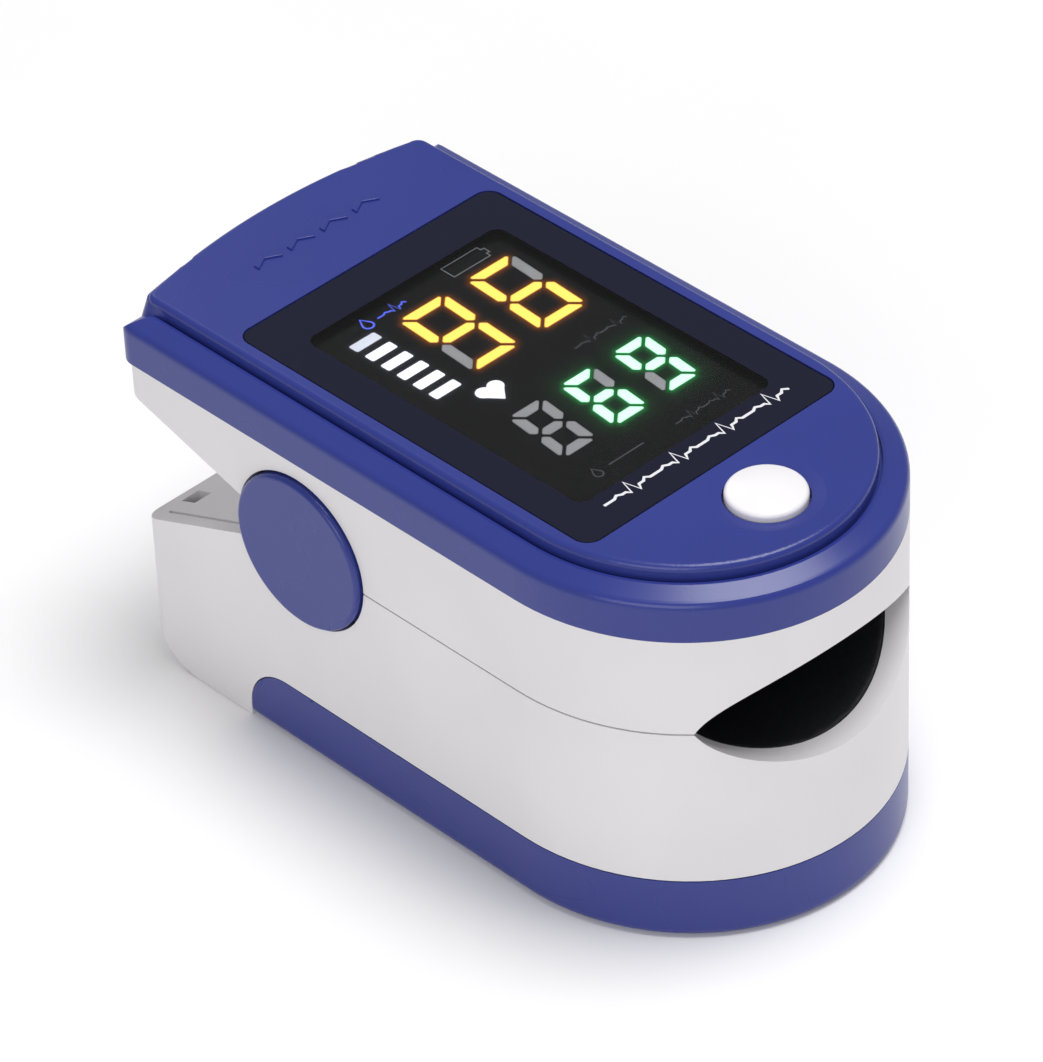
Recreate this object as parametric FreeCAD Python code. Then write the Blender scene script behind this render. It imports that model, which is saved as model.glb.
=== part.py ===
import FreeCAD, Part
import math
import os

# Fingertip pulse oximeter: two sprung jaws that close on a fingertip.
# Millimetres, +Z up, origin at the middle of the flat underside.
# The finger goes in along +Y through the mouth at the -Y end (the nose); X runs across the width.
# The upper jaw turns about the hinge axis, which runs along X near the tail.

V = FreeCAD.Vector

# ---- overall sizes ----
LENGTH = 58.0             # nose to the tail edge of the top cover
WIDTH = 31.4
NOSE_DEPTH = 16.55        # the nose is half an ellipse, this deep along Y

# ---- heights of the split lines, from the underside ----
COVER_Z = 5.17            # top edge of the battery cover
PARTING_Z = 18.53         # where the two jaws meet
HOUSING_Z = 26.63         # top of the upper housing, under the blue rim
RIM_Z = 29.7              # top of the rim's upright side
RIM_TOP_Z = 30.35         # top of the rim's sloping band
DECK_Z = 31.45            # top of the raised deck

# ---- walls, floors and gaps ----
WALL = 1.3
FLOOR = 1.2
SEAM = 0.14               # gap between the closed jaws at the parting line
EDGE_GAP = 0.1            # gap round a window, cap or cover
RUN_GAP = 0.05            # radial running clearance on the axle
TAIL_CORNER = 1.5         # corner radius of the shells at the tail
SHARP_CORNER = 0.4        # least corner radius, inside the walls
RIM_SETBACK = 0.7         # rim's tail edge, in from the deck's
RIM_ROUND = 2.8           # side view: rounding of the rim's top tail edge
HOUSING_SETBACK = 1.3     # upper housing's tail
LOWER_SETBACK = 2.0       # lower housing's tail
LOWER_LEAN = 0.5          # how far that tail leans in at its foot
LOWER_TAIL_ROUND = 4.6    # rounding of its bottom tail edge

# ---- hinge ----
HINGE_FROM_TAIL = 19.47
HINGE_Z = 18.92
CAP_R = 6.23
CAP_PROUD = 0.5
CAP_EDGE = 0.35           # rounding of the cap's outer edge
CAP_INNER_X_GAP = 2.0     # cap's inner face, in from the side of the shell
EAR_T = 1.5
EAR_GAP = 0.2             # side gap between the two ears
LOWER_EAR_R = 5.2
LOWER_EAR_ROOM = 0.3      # clearance round it in the upper housing
UPPER_EAR_R = 3.3
PEG_R = 0.7               # two pegs hold each cap
PEG_GAP = 0.05
PEG_OFFSET = 3.2
AXLE_END = 1.2            # axle's end, past the cap's inner face
AXLE_R = 1.0
WELL_R = 3.9              # round space for the springs about the axle
WELL_WALL = 1.0
UPPER_WEDGE_DEG = 15.9    # slope of the upper jaw's underside behind the hinge
LOWER_WEDGE_DEG = 21.8    # slope of the lower jaw's top behind the hinge
LOWER_WEDGE_RISE = 0.68   # height of that slope's line over the axis
PLATE_T = 1.4             # thickness of both sloping plates

# ---- torsion springs ----
WIRE_R = 0.35
COIL_R = 1.8
COIL_TURNS = 2
COIL_PITCH = 0.85
LEG_LENGTH = 10.6
UPPER_LEG_DEG = 6.0
LOWER_LEG_DEG = 10.0
LEG_GAP = 0.3
LEG_SLOT_HALF = 0.6
LEG_SLOT_DEPTH = 2.2
SPRING_SIDE_GAP = 0.15    # between a coil and the ear beside it
SPRING_SPLIT = 0.06       # half the gap between a spring's two solids

# ---- finger channel and pads ----
CHANNEL_HALF = 9.5
CHANNEL_DEPTH = 3.93      # below the parting line
CHANNEL_RISE = 4.2        # above it
MOUTH_HALF = 12.6         # flare of the mouth, at the very front
MOUTH_DEPTH = 4.45
MOUTH_RISE = 5.0
FLARE_LENGTH = 8.5
PAD_T = 1.0
PAD_SETBACK = 1.7         # pads start this far in from the nose
CARRIER_T = 0.8           # housing wall round the pads
SENSOR_FROM_HINGE = 17.5  # both optical parts, ahead of the hinge
SENSOR_HOLE_R = 2.3
SENSOR_WINDOW_R = 2.25

# ---- battery bay ----
CELL_R = 5.25
CELL_LENGTH = 44.5
CELL_NUB = 0.8
CELL_NUB_R = 1.9
CELL_GAP = 0.15
CELL_FLOAT = 0.15         # cells stand clear of the cover's floor
TRAY_T = 0.7
BAY_WALL = 0.9            # least wall left at the nose, beside the cells' corners
SPRING_ROOM = 2.2         # compressed battery spring
CONTACT_T = 0.3
TRAY_TAB_T = 0.9
TRAY_TAB_HALF = 1.2
TRAY_SCREW_HEAD_R = 1.2
TRAY_SCREW_HEAD_T = 0.7
TRAY_SCREW_R = 0.7
TRAY_SCREW_LENGTH = 3.7   # shank
TRAY_SCREW_FROM_SIDE = 0.25
TRAY_SCREW_FRONT = 4.0    # front pair, behind the nose's curve
TRAY_SCREW_REAR = 2.0     # rear pair, ahead of the caps
BATTERY_SPRING_R = 2.6    # wide end
BATTERY_SPRING_TIP_R = 1.7
BATTERY_WIRE_R = 0.22
CONTACT_HALF = 3.0

# ---- battery cover ----
COVER_REAR_FROM_TAIL = 12.8
COVER_CORNER = 4.0
BOTTOM_ROUND = 0.8
RAIL_T = 0.9
RAIL_GAP = 0.15
RIB = 0.45                # cover's gripping rib
RIB_RISE = 1.6            # its height over the cover's floor
GRIP_COUNT = 5            # shallow thumb grooves under the cover
GRIP_PITCH = 1.6
GRIP_HALF = 5.0
GRIP_WIDTH = 0.7
GRIP_DEPTH = 0.3
GRIP_FROM_REAR = 9.0

# ---- lanyard eye and the groove round the lower jaw's slope ----
LANYARD_WIDTH = 1.7
LANYARD_FROM_SIDE = 2.9
LANYARD_SLOT = 1.5
LANYARD_BAR = 1.0
SLOPE_GROOVE = 0.3

# ---- display and top cover ----
WINDOW_HALF = 12.4
WINDOW_FRONT = 12.6       # window's front edge, from the nose
WINDOW_LENGTH = 35.1
WINDOW_T = 0.9
WINDOW_SINK = 0.06
WINDOW_CORNER = 1.3
MODULE_HALF = 10.1
MODULE_LENGTH = 28.6
MODULE_FRONT_MARGIN = 3.3
MODULE_T = 3.6
SEGMENT_T = 0.5
SEGMENT_GAP = 0.36        # between neighbouring bars
SEGMENT_ROUND = 0.12
BAR_COUNT = 6             # pulse bars beside the digits
BAR_PITCH = 1.62
BAR_HALF = 0.42
PIN_COUNT = 6
PIN_PITCH = 2.54
PIN_R = 0.25
PIN_MARGIN = 1.2
DECK_INSET = 2.1
DECK_CORNER = 1.0
DECK_EDGE = 0.45          # rounding of the deck's top edge
DECK_BULGE = 1.6          # the deck's tail edge is a shallow bow
DECK_GROOVE = 0.25        # groove round the foot of the deck
DECK_GROOVE_DEPTH = 0.35
LIP_LENGTH = 4.2          # tail stretch where the deck's sides flare
LIP_DEPTH = 2.4
LIP_FLARE = 1.3
COVER_TOP_T = 1.45
RIM_TOP_T = 1.0
RIM_EDGE = 0.7            # rounding between the rim's side and its sloping band
RIM_EDGE_STEPS = 5
MARK_COUNT = 4            # raised arrowheads that show where to squeeze
MARK_PITCH = 3.2
MARK_WIDE = 2.3
MARK_LENGTH = 1.2
MARK_STROKE = 0.55
MARK_RAISE = 0.15
MARK_FROM_TAIL = 4.4
COVER_SCREW_FROM_TAIL = 6.6
COVER_SCREW_FROM_SIDE = 5.2
COVER_SCREW_R = 0.8
COVER_SCREW_HEAD_R = 1.45
COVER_SCREW_HEAD_T = 0.9
COVER_SCREW_SEAT = 1.1    # its seat, over the sloping plate's underside
COVER_POST_R = 1.9

# ---- circuit boards ----
BOARD_T = 0.8
BOARD_Z = 25.4            # underside of the main board
BOARD_INSET = 2.6
DETECTOR_T = 0.6
DETECTOR_HALF = 4.0
DETECTOR_LENGTH = 7.0
DETECTOR_CHIP_HALF = 1.4
DETECTOR_CHIP_T = 0.6
POCKET_GAP = 0.15
RIBBON_HALF = 2.5
RIBBON_T = 0.2
RIBBON_GAP = 0.3
RIBBON_FROM_AXLE = 0.7

# ---- power button ----
BUTTON_FROM_NOSE = 7.83
BUTTON_R = 2.94
BUTTON_GAP = 0.15
BUTTON_PROUD = 0.35
BUTTON_DOME = 0.45
BUTTON_TRAVEL = 0.4
DISH_R = 4.1
DISH_DEPTH = 0.3
FLANGE_R = 3.6
FLANGE_T = 0.65
STEM_R = 1.3
SWITCH_HALF = 2.2
SWITCH_T = 1.4
SWITCH_WELL = 0.9         # depth of the well for its plunger
PLUNGER_R = 1.0
PLUNGER_TOP = 2.05        # over the board

# ---- worked out from the sizes above ----
HALF = WIDTH / 2
FRONT = -LENGTH / 2
TAIL = LENGTH / 2
NOSE_Y = FRONT + NOSE_DEPTH
HINGE_Y = TAIL - HINGE_FROM_TAIL
UPPER_P = PARTING_Z + SEAM / 2
LOWER_P = PARTING_Z - SEAM / 2
CAP_X = HALF - CAP_INNER_X_GAP
LOWER_EAR_X = CAP_X - EAR_T
UPPER_EAR_X = LOWER_EAR_X - EAR_GAP - EAR_T
CHANNEL_END = HINGE_Y - WELL_R - WELL_WALL - PAD_T
SENSOR_Y = HINGE_Y - SENSOR_FROM_HINGE
CELL_X = CELL_R + CELL_GAP
CELL_Z = FLOOR + CELL_FLOAT + CELL_R
TRAY_Z = CELL_Z + CELL_R + CELL_GAP
TRAY_HALF = CELL_X + CELL_R + CELL_GAP
BUTTON_Y = FRONT + BUTTON_FROM_NOSE
WINDOW_Y0 = FRONT + WINDOW_FRONT
WINDOW_Y1 = WINDOW_Y0 + WINDOW_LENGTH
WINDOW_TOP = DECK_Z - WINDOW_SINK
WINDOW_SEAT = WINDOW_TOP - WINDOW_T
BOARD_TOP = BOARD_Z + BOARD_T
MODULE_TOP = WINDOW_SEAT - 0.1
MODULE_Y0 = WINDOW_Y0 + MODULE_FRONT_MARGIN
COVER_REAR = TAIL - COVER_REAR_FROM_TAIL
AHEAD = FRONT - 5.0       # clear of the nose, for cutting shapes
FAR = 200.0               # longer than anything here, for cutting shapes

NODES = {}


# ---- small shape makers ----
def box(x0, x1, y0, y1, z0, z1):
    return Part.makeBox(x1 - x0, y1 - y0, z1 - z0, V(x0, y0, z0))


def rod_x(r, x0, x1, y=HINGE_Y, z=HINGE_Z):
    return Part.makeCylinder(r, x1 - x0, V(x0, y, z), V(1, 0, 0))


def rod_y(r, y0, y1, x, z):
    return Part.makeCylinder(r, y1 - y0, V(x, y0, z), V(0, 1, 0))


def rod_z(r, z0, z1, x, y):
    return Part.makeCylinder(r, z1 - z0, V(x, y, z0), V(0, 0, 1))


def both_sides(shape):
    """The shape and its mirror image in the YZ plane."""
    return [shape, shape.mirror(V(0, 0, 0), V(1, 0, 0))]


def join(*shapes):
    first, rest = shapes[0], list(shapes[1:])
    return first.fuse(rest).removeSplitter()


def side_prism(points, half=FAR):
    """A closed outline of (y, z) points, run across the width."""
    corners = [V(-half, y, z) for y, z in points]
    face = Part.Face(Part.makePolygon(corners + corners[:1]))
    return face.extrude(V(2 * half, 0, 0))


def ellipse_arc(centre, side, ahead):
    """Half an ellipse from centre - side, through centre + ahead, to centre + side."""
    if ahead.Length > side.Length:
        curve = Part.Ellipse(centre + ahead, centre + side, centre)
        return Part.ArcOfEllipse(curve, -math.pi / 2, math.pi / 2).toShape()
    curve = Part.Ellipse(centre + side, centre - ahead, centre)
    return Part.ArcOfEllipse(curve, math.pi, 2 * math.pi).toShape()


def arc(a, b, c):
    return Part.Arc(a, b, c).toShape()


def line(a, b):
    return Part.makeLine(a, b)


def outline_prism(points, z, rise):
    """A closed outline of (x, y) points at height z, raised straight up."""
    corners = [V(x, y, z) for x, y in points]
    return Part.Face(Part.makePolygon(corners + corners[:1])).extrude(V(0, 0, rise))


def rounded_end(rear, top, r):
    """Everything ahead of rear and below top, with that upper tail corner rounded in the side view."""
    diag = r * (1 - math.sqrt(0.5))
    low, high = V(-FAR, rear, top - r), V(-FAR, rear - r, top)
    foot, front_foot, front_top = V(-FAR, rear, -FAR), V(-FAR, AHEAD, -FAR), V(-FAR, AHEAD, top)
    turn = arc(low, V(-FAR, rear - diag, top - diag), high)
    ring = [line(foot, low), turn, line(high, front_top), line(front_top, front_foot), line(front_foot, foot)]
    return Part.Face(Part.Wire(ring)).extrude(V(2 * FAR, 0, 0))


def plan_wire(inset, tail, z, corner=TAIL_CORNER, bulge=0.0):
    """The outline seen from above: elliptic nose, straight sides, rounded tail corners."""
    half = HALF - inset
    r = max(corner, SHARP_CORNER)
    diag = r * (1 - math.sqrt(0.5))
    side_y = tail - bulge
    nose = ellipse_arc(V(0, NOSE_Y, z), V(half, 0, 0), V(0, inset - NOSE_DEPTH, 0))
    right = line(V(half, NOSE_Y, z), V(half, side_y - r, z))
    turn_r = arc(V(half, side_y - r, z), V(half - diag, side_y - diag, z), V(half - r, side_y, z))
    ends = V(half - r, side_y, z), V(r - half, side_y, z)
    back = arc(ends[0], V(0, tail, z), ends[1]) if bulge else line(*ends)
    turn_l = arc(ends[1], V(diag - half, side_y - diag, z), V(-half, side_y - r, z))
    left = line(V(-half, side_y - r, z), V(-half, NOSE_Y, z))
    return Part.Wire([nose, right, turn_r, back, turn_l, left])


def plan_prism(inset, tail, z0, z1, corner=TAIL_CORNER, bulge=0.0):
    face = Part.Face(plan_wire(inset, tail, z0, corner, bulge))
    return face.extrude(V(0, 0, z1 - z0))


def rounded_plate(half, y0, y1, z0, z1, corner):
    plate = box(-half, half, y0, y1, z0, z1)
    return plate.makeFillet(corner, [e for e in plate.Edges if is_upright(e)])


def is_upright(edge):
    box_ = edge.BoundBox
    return box_.ZLength > 10 * max(box_.XLength, box_.YLength, 1e-6)


def edges_near(shape, z, tol=0.02):
    """Edges that lie flat at height z."""
    return [e for e in shape.Edges if abs(e.BoundBox.ZMin - z) < tol and abs(e.BoundBox.ZMax - z) < tol]


def channel_wire(y, half, drop):
    """Half an ellipse hanging below the parting line (or standing above it, with drop negative)."""
    bowl = ellipse_arc(V(0, y, PARTING_Z), V(half, 0, 0), V(0, 0, -drop))
    return Part.Wire([bowl, line(V(half, y, PARTING_Z), V(-half, y, PARTING_Z))])


def channel_prism(y0, y1, grow, drop):
    """The finger channel's half, grown outwards all round by a wall."""
    depth = drop + math.copysign(grow, drop)
    return Part.Face(channel_wire(y0, CHANNEL_HALF + grow, depth)).extrude(V(0, y1 - y0, 0))


def mouth_flare(drop):
    """Opens the channel towards the nose, from a plain arc to the channel's own ellipse."""
    near = FRONT - 0.5
    ends = V(MOUTH_HALF, near, PARTING_Z), V(-MOUTH_HALF, near, PARTING_Z)
    low = V(0, near, PARTING_Z - drop)
    outer = Part.Wire([arc(ends[1], low, ends[0]), line(*ends)])
    inner_drop = math.copysign(CHANNEL_DEPTH if drop > 0 else CHANNEL_RISE, drop)
    inner = channel_wire(near + FLARE_LENGTH, CHANNEL_HALF, inner_drop)
    return Part.makeLoft([outer, inner], True, True)


def keep(name, *solids):
    """Writes one node: a single solid, or a group of separate ones."""
    shapes = [s for shape in solids for s in shape.Solids]
    NODES[name] = shapes[0] if len(shapes) == 1 else Part.makeCompound(shapes)


# ---- shared hinge geometry ----
def upper_wedge_z(y):
    return HINGE_Z + (y - HINGE_Y) * math.tan(math.radians(UPPER_WEDGE_DEG))


def lower_wedge_z(y):
    return HINGE_Z + LOWER_WEDGE_RISE - (y - HINGE_Y) * math.tan(math.radians(LOWER_WEDGE_DEG))


def leg_line(sign, degrees):
    """Start point and direction of a spring leg that leaves the coil tangentially, towards the tail."""
    a = math.radians(degrees)
    start = V(0, HINGE_Y - COIL_R * math.sin(a), HINGE_Z + sign * COIL_R * math.cos(a))
    return start, V(0, math.cos(a), sign * math.sin(a))


def leg_slot(sign, degrees, x):
    """Groove for a spring leg, open towards the wedge-shaped gap."""
    start, along = leg_line(sign, degrees)
    far = start + along * (LEG_LENGTH + LEG_GAP)
    clear = sign * (WIRE_R + 0.02)
    deep = -sign * LEG_SLOT_DEPTH
    outline = [(start.y, start.z + clear), (far.y, far.z + clear),
               (far.y, far.z + deep), (start.y, start.z + deep)]
    return side_prism(outline).common(box(x - LEG_SLOT_HALF, x + LEG_SLOT_HALF, -FAR, FAR, -FAR, FAR))


def torsion_half(x_start, x_end, sign, degrees):
    """Half of a torsion spring: some turns about the axle and one straight leg."""
    a = math.radians(degrees)
    end_angle = sign * (math.pi / 2 + a)
    steps = 16 * COIL_TURNS
    points = []
    for i in range(steps + 1):
        t = i / steps
        angle = end_angle + sign * 2 * math.pi * COIL_TURNS * (1 - t)
        x = x_start + (x_end - x_start) * t
        points.append(V(x, HINGE_Y + COIL_R * math.cos(angle), HINGE_Z + COIL_R * math.sin(angle)))
    coil = Part.BSplineCurve()
    coil.interpolate(points)
    start, along = leg_line(sign, degrees)
    tip = points[-1] + along * LEG_LENGTH
    path = Part.Wire([coil.toShape(), line(points[-1], tip)])
    first = coil.tangent(coil.FirstParameter)[0]
    ring = Part.Wire(Part.makeCircle(WIRE_R, points[0], first))
    return path.makePipeShell([ring], True, False)


# ---- lower jaw ----
def lower_outline(wall, plate):
    """Side view of the lower housing, or of its hollow when walls are given."""
    tail = TAIL - LOWER_SETBACK - wall
    top = LOWER_P - (FLOOR if wall else 0)
    slope = plate / math.cos(math.radians(LOWER_WEDGE_DEG))
    run = math.tan(math.radians(LOWER_WEDGE_DEG))
    bend = HINGE_Y + (HINGE_Z + LOWER_WEDGE_RISE - slope - top) / run
    return [(AHEAD, 0), (tail - LOWER_LEAN, 0), (tail, lower_wedge_z(tail) - slope), (bend, top), (AHEAD, top)]


def lower_block():
    """Outer form of the lower housing: everything above the cover, and the whole tail."""
    prism = plan_prism(0, TAIL - LOWER_SETBACK, 0, LOWER_P)
    block = prism.common(side_prism(lower_outline(0, 0)))
    tail_edges = [e for e in edges_near(block, 0) if e.BoundBox.YMin > COVER_REAR]
    block = block.makeFillet(LOWER_TAIL_ROUND, [e for e in tail_edges if e.BoundBox.YLength < 0.1])
    return block.cut(cover_space(EDGE_GAP))


def cover_space(gap):
    """Side view of the battery cover, grown by a gap, run across the width."""
    return rounded_end(COVER_REAR + gap, COVER_Z + gap, COVER_CORNER + gap)


def lower_hollow():
    """Inside of the lower housing, with walls left round the channel and the hinge well."""
    inner = plan_prism(WALL, TAIL - LOWER_SETBACK - WALL, FLOOR, LOWER_P - FLOOR, TAIL_CORNER - WALL)
    hollow = inner.common(side_prism(lower_outline(WALL, PLATE_T)))
    trough = channel_prism(AHEAD, CHANNEL_END + PAD_T + CARRIER_T, PAD_T + CARRIER_T, CHANNEL_DEPTH)
    well = rod_x(WELL_R + WELL_WALL, -FAR, FAR)
    return hollow.cut([trough, well])


def cover_rails():
    """Inner skirts that the battery cover's ribs run along."""
    x1 = HALF - WALL - RAIL_GAP
    ledge_z = COVER_Z + EDGE_GAP
    skirt_plan = plan_prism(WALL + RAIL_GAP, COVER_REAR, FLOOR + 2 * RAIL_GAP, ledge_z + RAIL_T)
    core = box(-(x1 - RAIL_T), x1 - RAIL_T, FRONT, TAIL, 0, FAR)
    skirts = skirt_plan.cut([core, box(-FAR, FAR, AHEAD, NOSE_Y, -5, FAR)])
    ledge = plan_prism(2 * EDGE_GAP, COVER_REAR, ledge_z, ledge_z + RAIL_T)
    ledge = ledge.cut([core, box(-FAR, FAR, AHEAD, NOSE_Y, -5, FAR)])
    half = RIB / 2 + RAIL_GAP
    groove = box(x1 - RIB, FAR, FRONT, COVER_REAR, rib_z() - half, rib_z() + half)
    return join(skirts, ledge).cut(both_sides(groove))


def rib_z():
    return FLOOR + RIB_RISE


def tray_screw_places():
    x = HALF - WALL - TRAY_SCREW_HEAD_R - TRAY_SCREW_FROM_SIDE
    rows = NOSE_Y + TRAY_SCREW_FRONT, HINGE_Y - CAP_R - TRAY_SCREW_REAR
    return [(side * x, y) for side in (-1, 1) for y in rows]


def lower_ears():
    """The lower jaw's hinge ears, each on a web that runs down into the wall."""
    ears = both_sides(rod_x(LOWER_EAR_R, LOWER_EAR_X, CAP_X))
    web = box(LOWER_EAR_X, CAP_X, HINGE_Y - LOWER_EAR_R, HINGE_Y + LOWER_EAR_R,
              HINGE_Z - LOWER_EAR_R - EAR_T, HINGE_Z)
    return ears + both_sides(web.common(side_prism(lower_outline(0, 0))))


def slope_grooves():
    """Fine grooves along both sides of the sloping plate, where it is set into the side walls."""
    x = HALF - WALL
    y0, y1 = HINGE_Y + CAP_R, TAIL - LOWER_SETBACK - TAIL_CORNER
    lows = [(y, lower_wedge_z(y) - SLOPE_GROOVE) for y in (y0, y1)]
    highs = [(y, lower_wedge_z(y) + SLOPE_GROOVE) for y in (y1, y0)]
    strip = box(x - SLOPE_GROOVE / 2, x + SLOPE_GROOVE / 2, -FAR, FAR, -FAR, FAR)
    return both_sides(side_prism(lows + highs).common(strip))


def make_lower_housing():
    body = lower_block().cut(lower_hollow())
    body = body.cut(channel_prism(AHEAD, CHANNEL_END, 0, CHANNEL_DEPTH))
    seat = channel_prism(AHEAD, CHANNEL_END + PAD_T, PAD_T, CHANNEL_DEPTH)
    body = body.cut(seat.common(plan_prism(PAD_SETBACK, TAIL, 0, LOWER_P + 1)))
    body = body.cut(mouth_flare(MOUTH_DEPTH))
    well_x = LOWER_EAR_X - EDGE_GAP
    body = body.cut([rod_x(WELL_R, -well_x, well_x)] + both_sides(cap_pocket()))
    body = join(body, *lower_ears(), cover_rails())
    places = tray_screw_places()
    body = join(body, *[rod_z(TRAY_SCREW_HEAD_R + 0.1, TRAY_Z, LOWER_P - FLOOR, x, y) for x, y in places])
    shank_top = TRAY_Z - TRAY_TAB_T + TRAY_SCREW_LENGTH
    body = body.cut([rod_z(TRAY_SCREW_R, 0, shank_top, x, y) for x, y in places])
    body = body.cut([rod_z(TRAY_SCREW_HEAD_R + 0.2, 0, TRAY_Z - 0.01, x, y) for x, y in places])
    body = body.cut([rod_x(AXLE_R, -FAR, FAR), ribbon_slot_lower(), detector_pocket()])
    body = body.cut(both_sides(leg_slot(-1, LOWER_LEG_DEG, spring_x()[2])))
    body = body.cut(peg_holes() + slope_grooves() + [bay_space(), lanyard_eye()])
    keep("lower_housing", largest(body))


def largest(shape):
    return max(shape.Solids, key=lambda s: s.Volume)


def cap_pocket():
    return rod_x(CAP_R + 2 * EDGE_GAP, CAP_X, FAR)


def peg_holes():
    holes = []
    for dz in (-1, 1):
        holes += both_sides(rod_x(PEG_R + PEG_GAP, LOWER_EAR_X - 1, CAP_X, HINGE_Y, HINGE_Z + dz * PEG_OFFSET))
    return holes


def bay_space():
    """Room for the tray and cells, from the cover up."""
    y0, y1 = bay_ends()
    room = box(-TRAY_HALF - TRAY_T, TRAY_HALF + TRAY_T, y0 - CONTACT_T, y1 + TRAY_T, FLOOR, TRAY_Z + TRAY_T)
    return room.common(plan_prism(BAY_WALL, TAIL - LOWER_SETBACK - BAY_WALL, 0, FAR))


def bay_ends():
    """Front and rear planes between which the cells and their contacts lie."""
    rear = TAIL - LOWER_SETBACK - WALL - 0.5 - TRAY_T - 1.2
    return rear - CELL_LENGTH - SPRING_ROOM - 2 * CONTACT_T, rear


def lanyard_eye():
    """A short passage through the sloping plate and the tail wall, with a bar left between them."""
    x0 = -(HALF - LANYARD_FROM_SIDE)
    x1 = x0 + LANYARD_WIDTH
    y = TAIL - LOWER_SETBACK
    z = lower_wedge_z(y) - LANYARD_BAR
    slot_end = y - LANYARD_BAR
    top = box(x0, x1, slot_end - LANYARD_SLOT, slot_end, z - LANYARD_SLOT, FAR)
    back = box(x0, x1, slot_end - LANYARD_SLOT, FAR, z - LANYARD_SLOT, z)
    return top.fuse(back)


def ribbon_slot_lower():
    y = ribbon_y()
    x = RIBBON_HALF + RIBBON_GAP
    low = TRAY_Z + TRAY_T
    down = box(-x, x, y - RIBBON_GAP - RIBBON_T, y + RIBBON_GAP + RIBBON_T, low, HINGE_Z)
    ahead = box(-x, x, SENSOR_Y, y + RIBBON_GAP + RIBBON_T, low, low + 2 * RIBBON_T)
    return join(down, ahead)


def ribbon_y():
    return HINGE_Y - AXLE_R - RIBBON_FROM_AXLE


def detector_pocket():
    x = DETECTOR_HALF + POCKET_GAP
    y = DETECTOR_LENGTH / 2 + POCKET_GAP
    return box(-x, x, SENSOR_Y - y, SENSOR_Y + y, TRAY_Z, PARTING_Z - CHANNEL_DEPTH + 2 * PAD_T)


def finger_pad(drop, rise, jaw):
    """A silicone pad that lines one half of the channel, within that jaw's side of the parting line."""
    shell = channel_prism(AHEAD, CHANNEL_END + PAD_T, PAD_T, drop)
    shell = shell.common(plan_prism(PAD_SETBACK, TAIL, 0, FAR)).common(jaw)
    shell = shell.cut([channel_prism(AHEAD, CHANNEL_END, 0, drop), mouth_flare(rise)])
    return shell.cut(rod_z(SENSOR_HOLE_R, 0, FAR, 0, SENSOR_Y))


def make_pads():
    below = box(-FAR, FAR, -FAR, FAR, -FAR, LOWER_P)
    above = box(-FAR, FAR, -FAR, FAR, UPPER_P, FAR)
    keep("lower_finger_pad", finger_pad(CHANNEL_DEPTH, MOUTH_DEPTH, below))
    keep("upper_finger_pad", finger_pad(-CHANNEL_RISE, -MOUTH_RISE, above))


def make_detector():
    top = TRAY_Z + TRAY_T
    y0 = SENSOR_Y - DETECTOR_LENGTH / 2
    keep("detector_board", box(-DETECTOR_HALF, DETECTOR_HALF, y0, y0 + DETECTOR_LENGTH, top, top + DETECTOR_T))
    half = DETECTOR_CHIP_HALF
    chip_z = top + DETECTOR_T
    chip_top = chip_z + DETECTOR_CHIP_T
    keep("photodetector", box(-half, half, SENSOR_Y - half, SENSOR_Y + half, chip_z, chip_top))
    window_top = PARTING_Z - CHANNEL_DEPTH - 0.05
    keep("detector_window", rod_z(SENSOR_WINDOW_R, chip_top + 0.02, window_top, 0, SENSOR_Y))


def tray_hull():
    """Ceiling and walls of the battery bay; ahead of the cover's rear edge only its upper part has walls."""
    y0, y1 = bay_ends()
    x = TRAY_HALF + TRAY_T
    hull = box(-x, x, y0 - CONTACT_T, y1 + TRAY_T, FLOOR + 0.4, TRAY_Z + TRAY_T)
    hull = hull.common(plan_prism(WALL, TAIL - LOWER_SETBACK - WALL, 0, FAR))
    hull = hull.cut(box(-TRAY_HALF, TRAY_HALF, y0 - FAR, y1, 0, TRAY_Z))
    low = box(-FAR, FAR, -FAR, FAR, 0, COVER_Z + RAIL_T + 2 * EDGE_GAP)
    return hull.cut(low.cut(box(-x, x, COVER_REAR + 1.0, FAR, 0, FAR)))


def tray_tab(x, y):
    """A screw tab that reaches out from the tray's wall."""
    ear = rod_z(TRAY_SCREW_HEAD_R + 0.1, TRAY_Z - TRAY_TAB_T, TRAY_Z, x, y)
    x0, x1 = sorted((x, math.copysign(TRAY_HALF, x)))
    return [ear, box(x0, x1, y - TRAY_TAB_HALF, y + TRAY_TAB_HALF, TRAY_Z - TRAY_TAB_T, TRAY_Z)]


def cross_recess(x, y, half, width, top):
    """Cross-shaped drive of a screw whose head faces down."""
    return [box(x - half, x + half, y - width, y + width, 0, top),
            box(x - width, x + width, y - half, y + half, 0, top)]


def down_screw(x, y, seat, head_r, head_t, shank_r, tip_z):
    """A pan-head screw driven upwards from below."""
    screw = join(rod_z(head_r, seat - head_t, seat, x, y), rod_z(shank_r, seat, tip_z, x, y))
    return screw.cut(cross_recess(x, y, 0.65 * head_r, 0.12 * head_r, seat - head_t / 2))


def make_tray():
    places = tray_screw_places()
    tabs = [shape for x, y in places for shape in tray_tab(x, y)]
    tray = join(tray_hull(), *tabs)
    tray = tray.cut([rod_z(TRAY_SCREW_R, 0, FAR, x, y) for x, y in places])
    keep("battery_tray", largest(tray.common(lower_hollow().fuse(bay_space()))))
    seat = TRAY_Z - TRAY_TAB_T
    tip = seat + TRAY_SCREW_LENGTH
    keep("tray_screws", *[down_screw(x, y, seat, TRAY_SCREW_HEAD_R, TRAY_SCREW_HEAD_T, TRAY_SCREW_R, tip)
                          for x, y in places])


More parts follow.
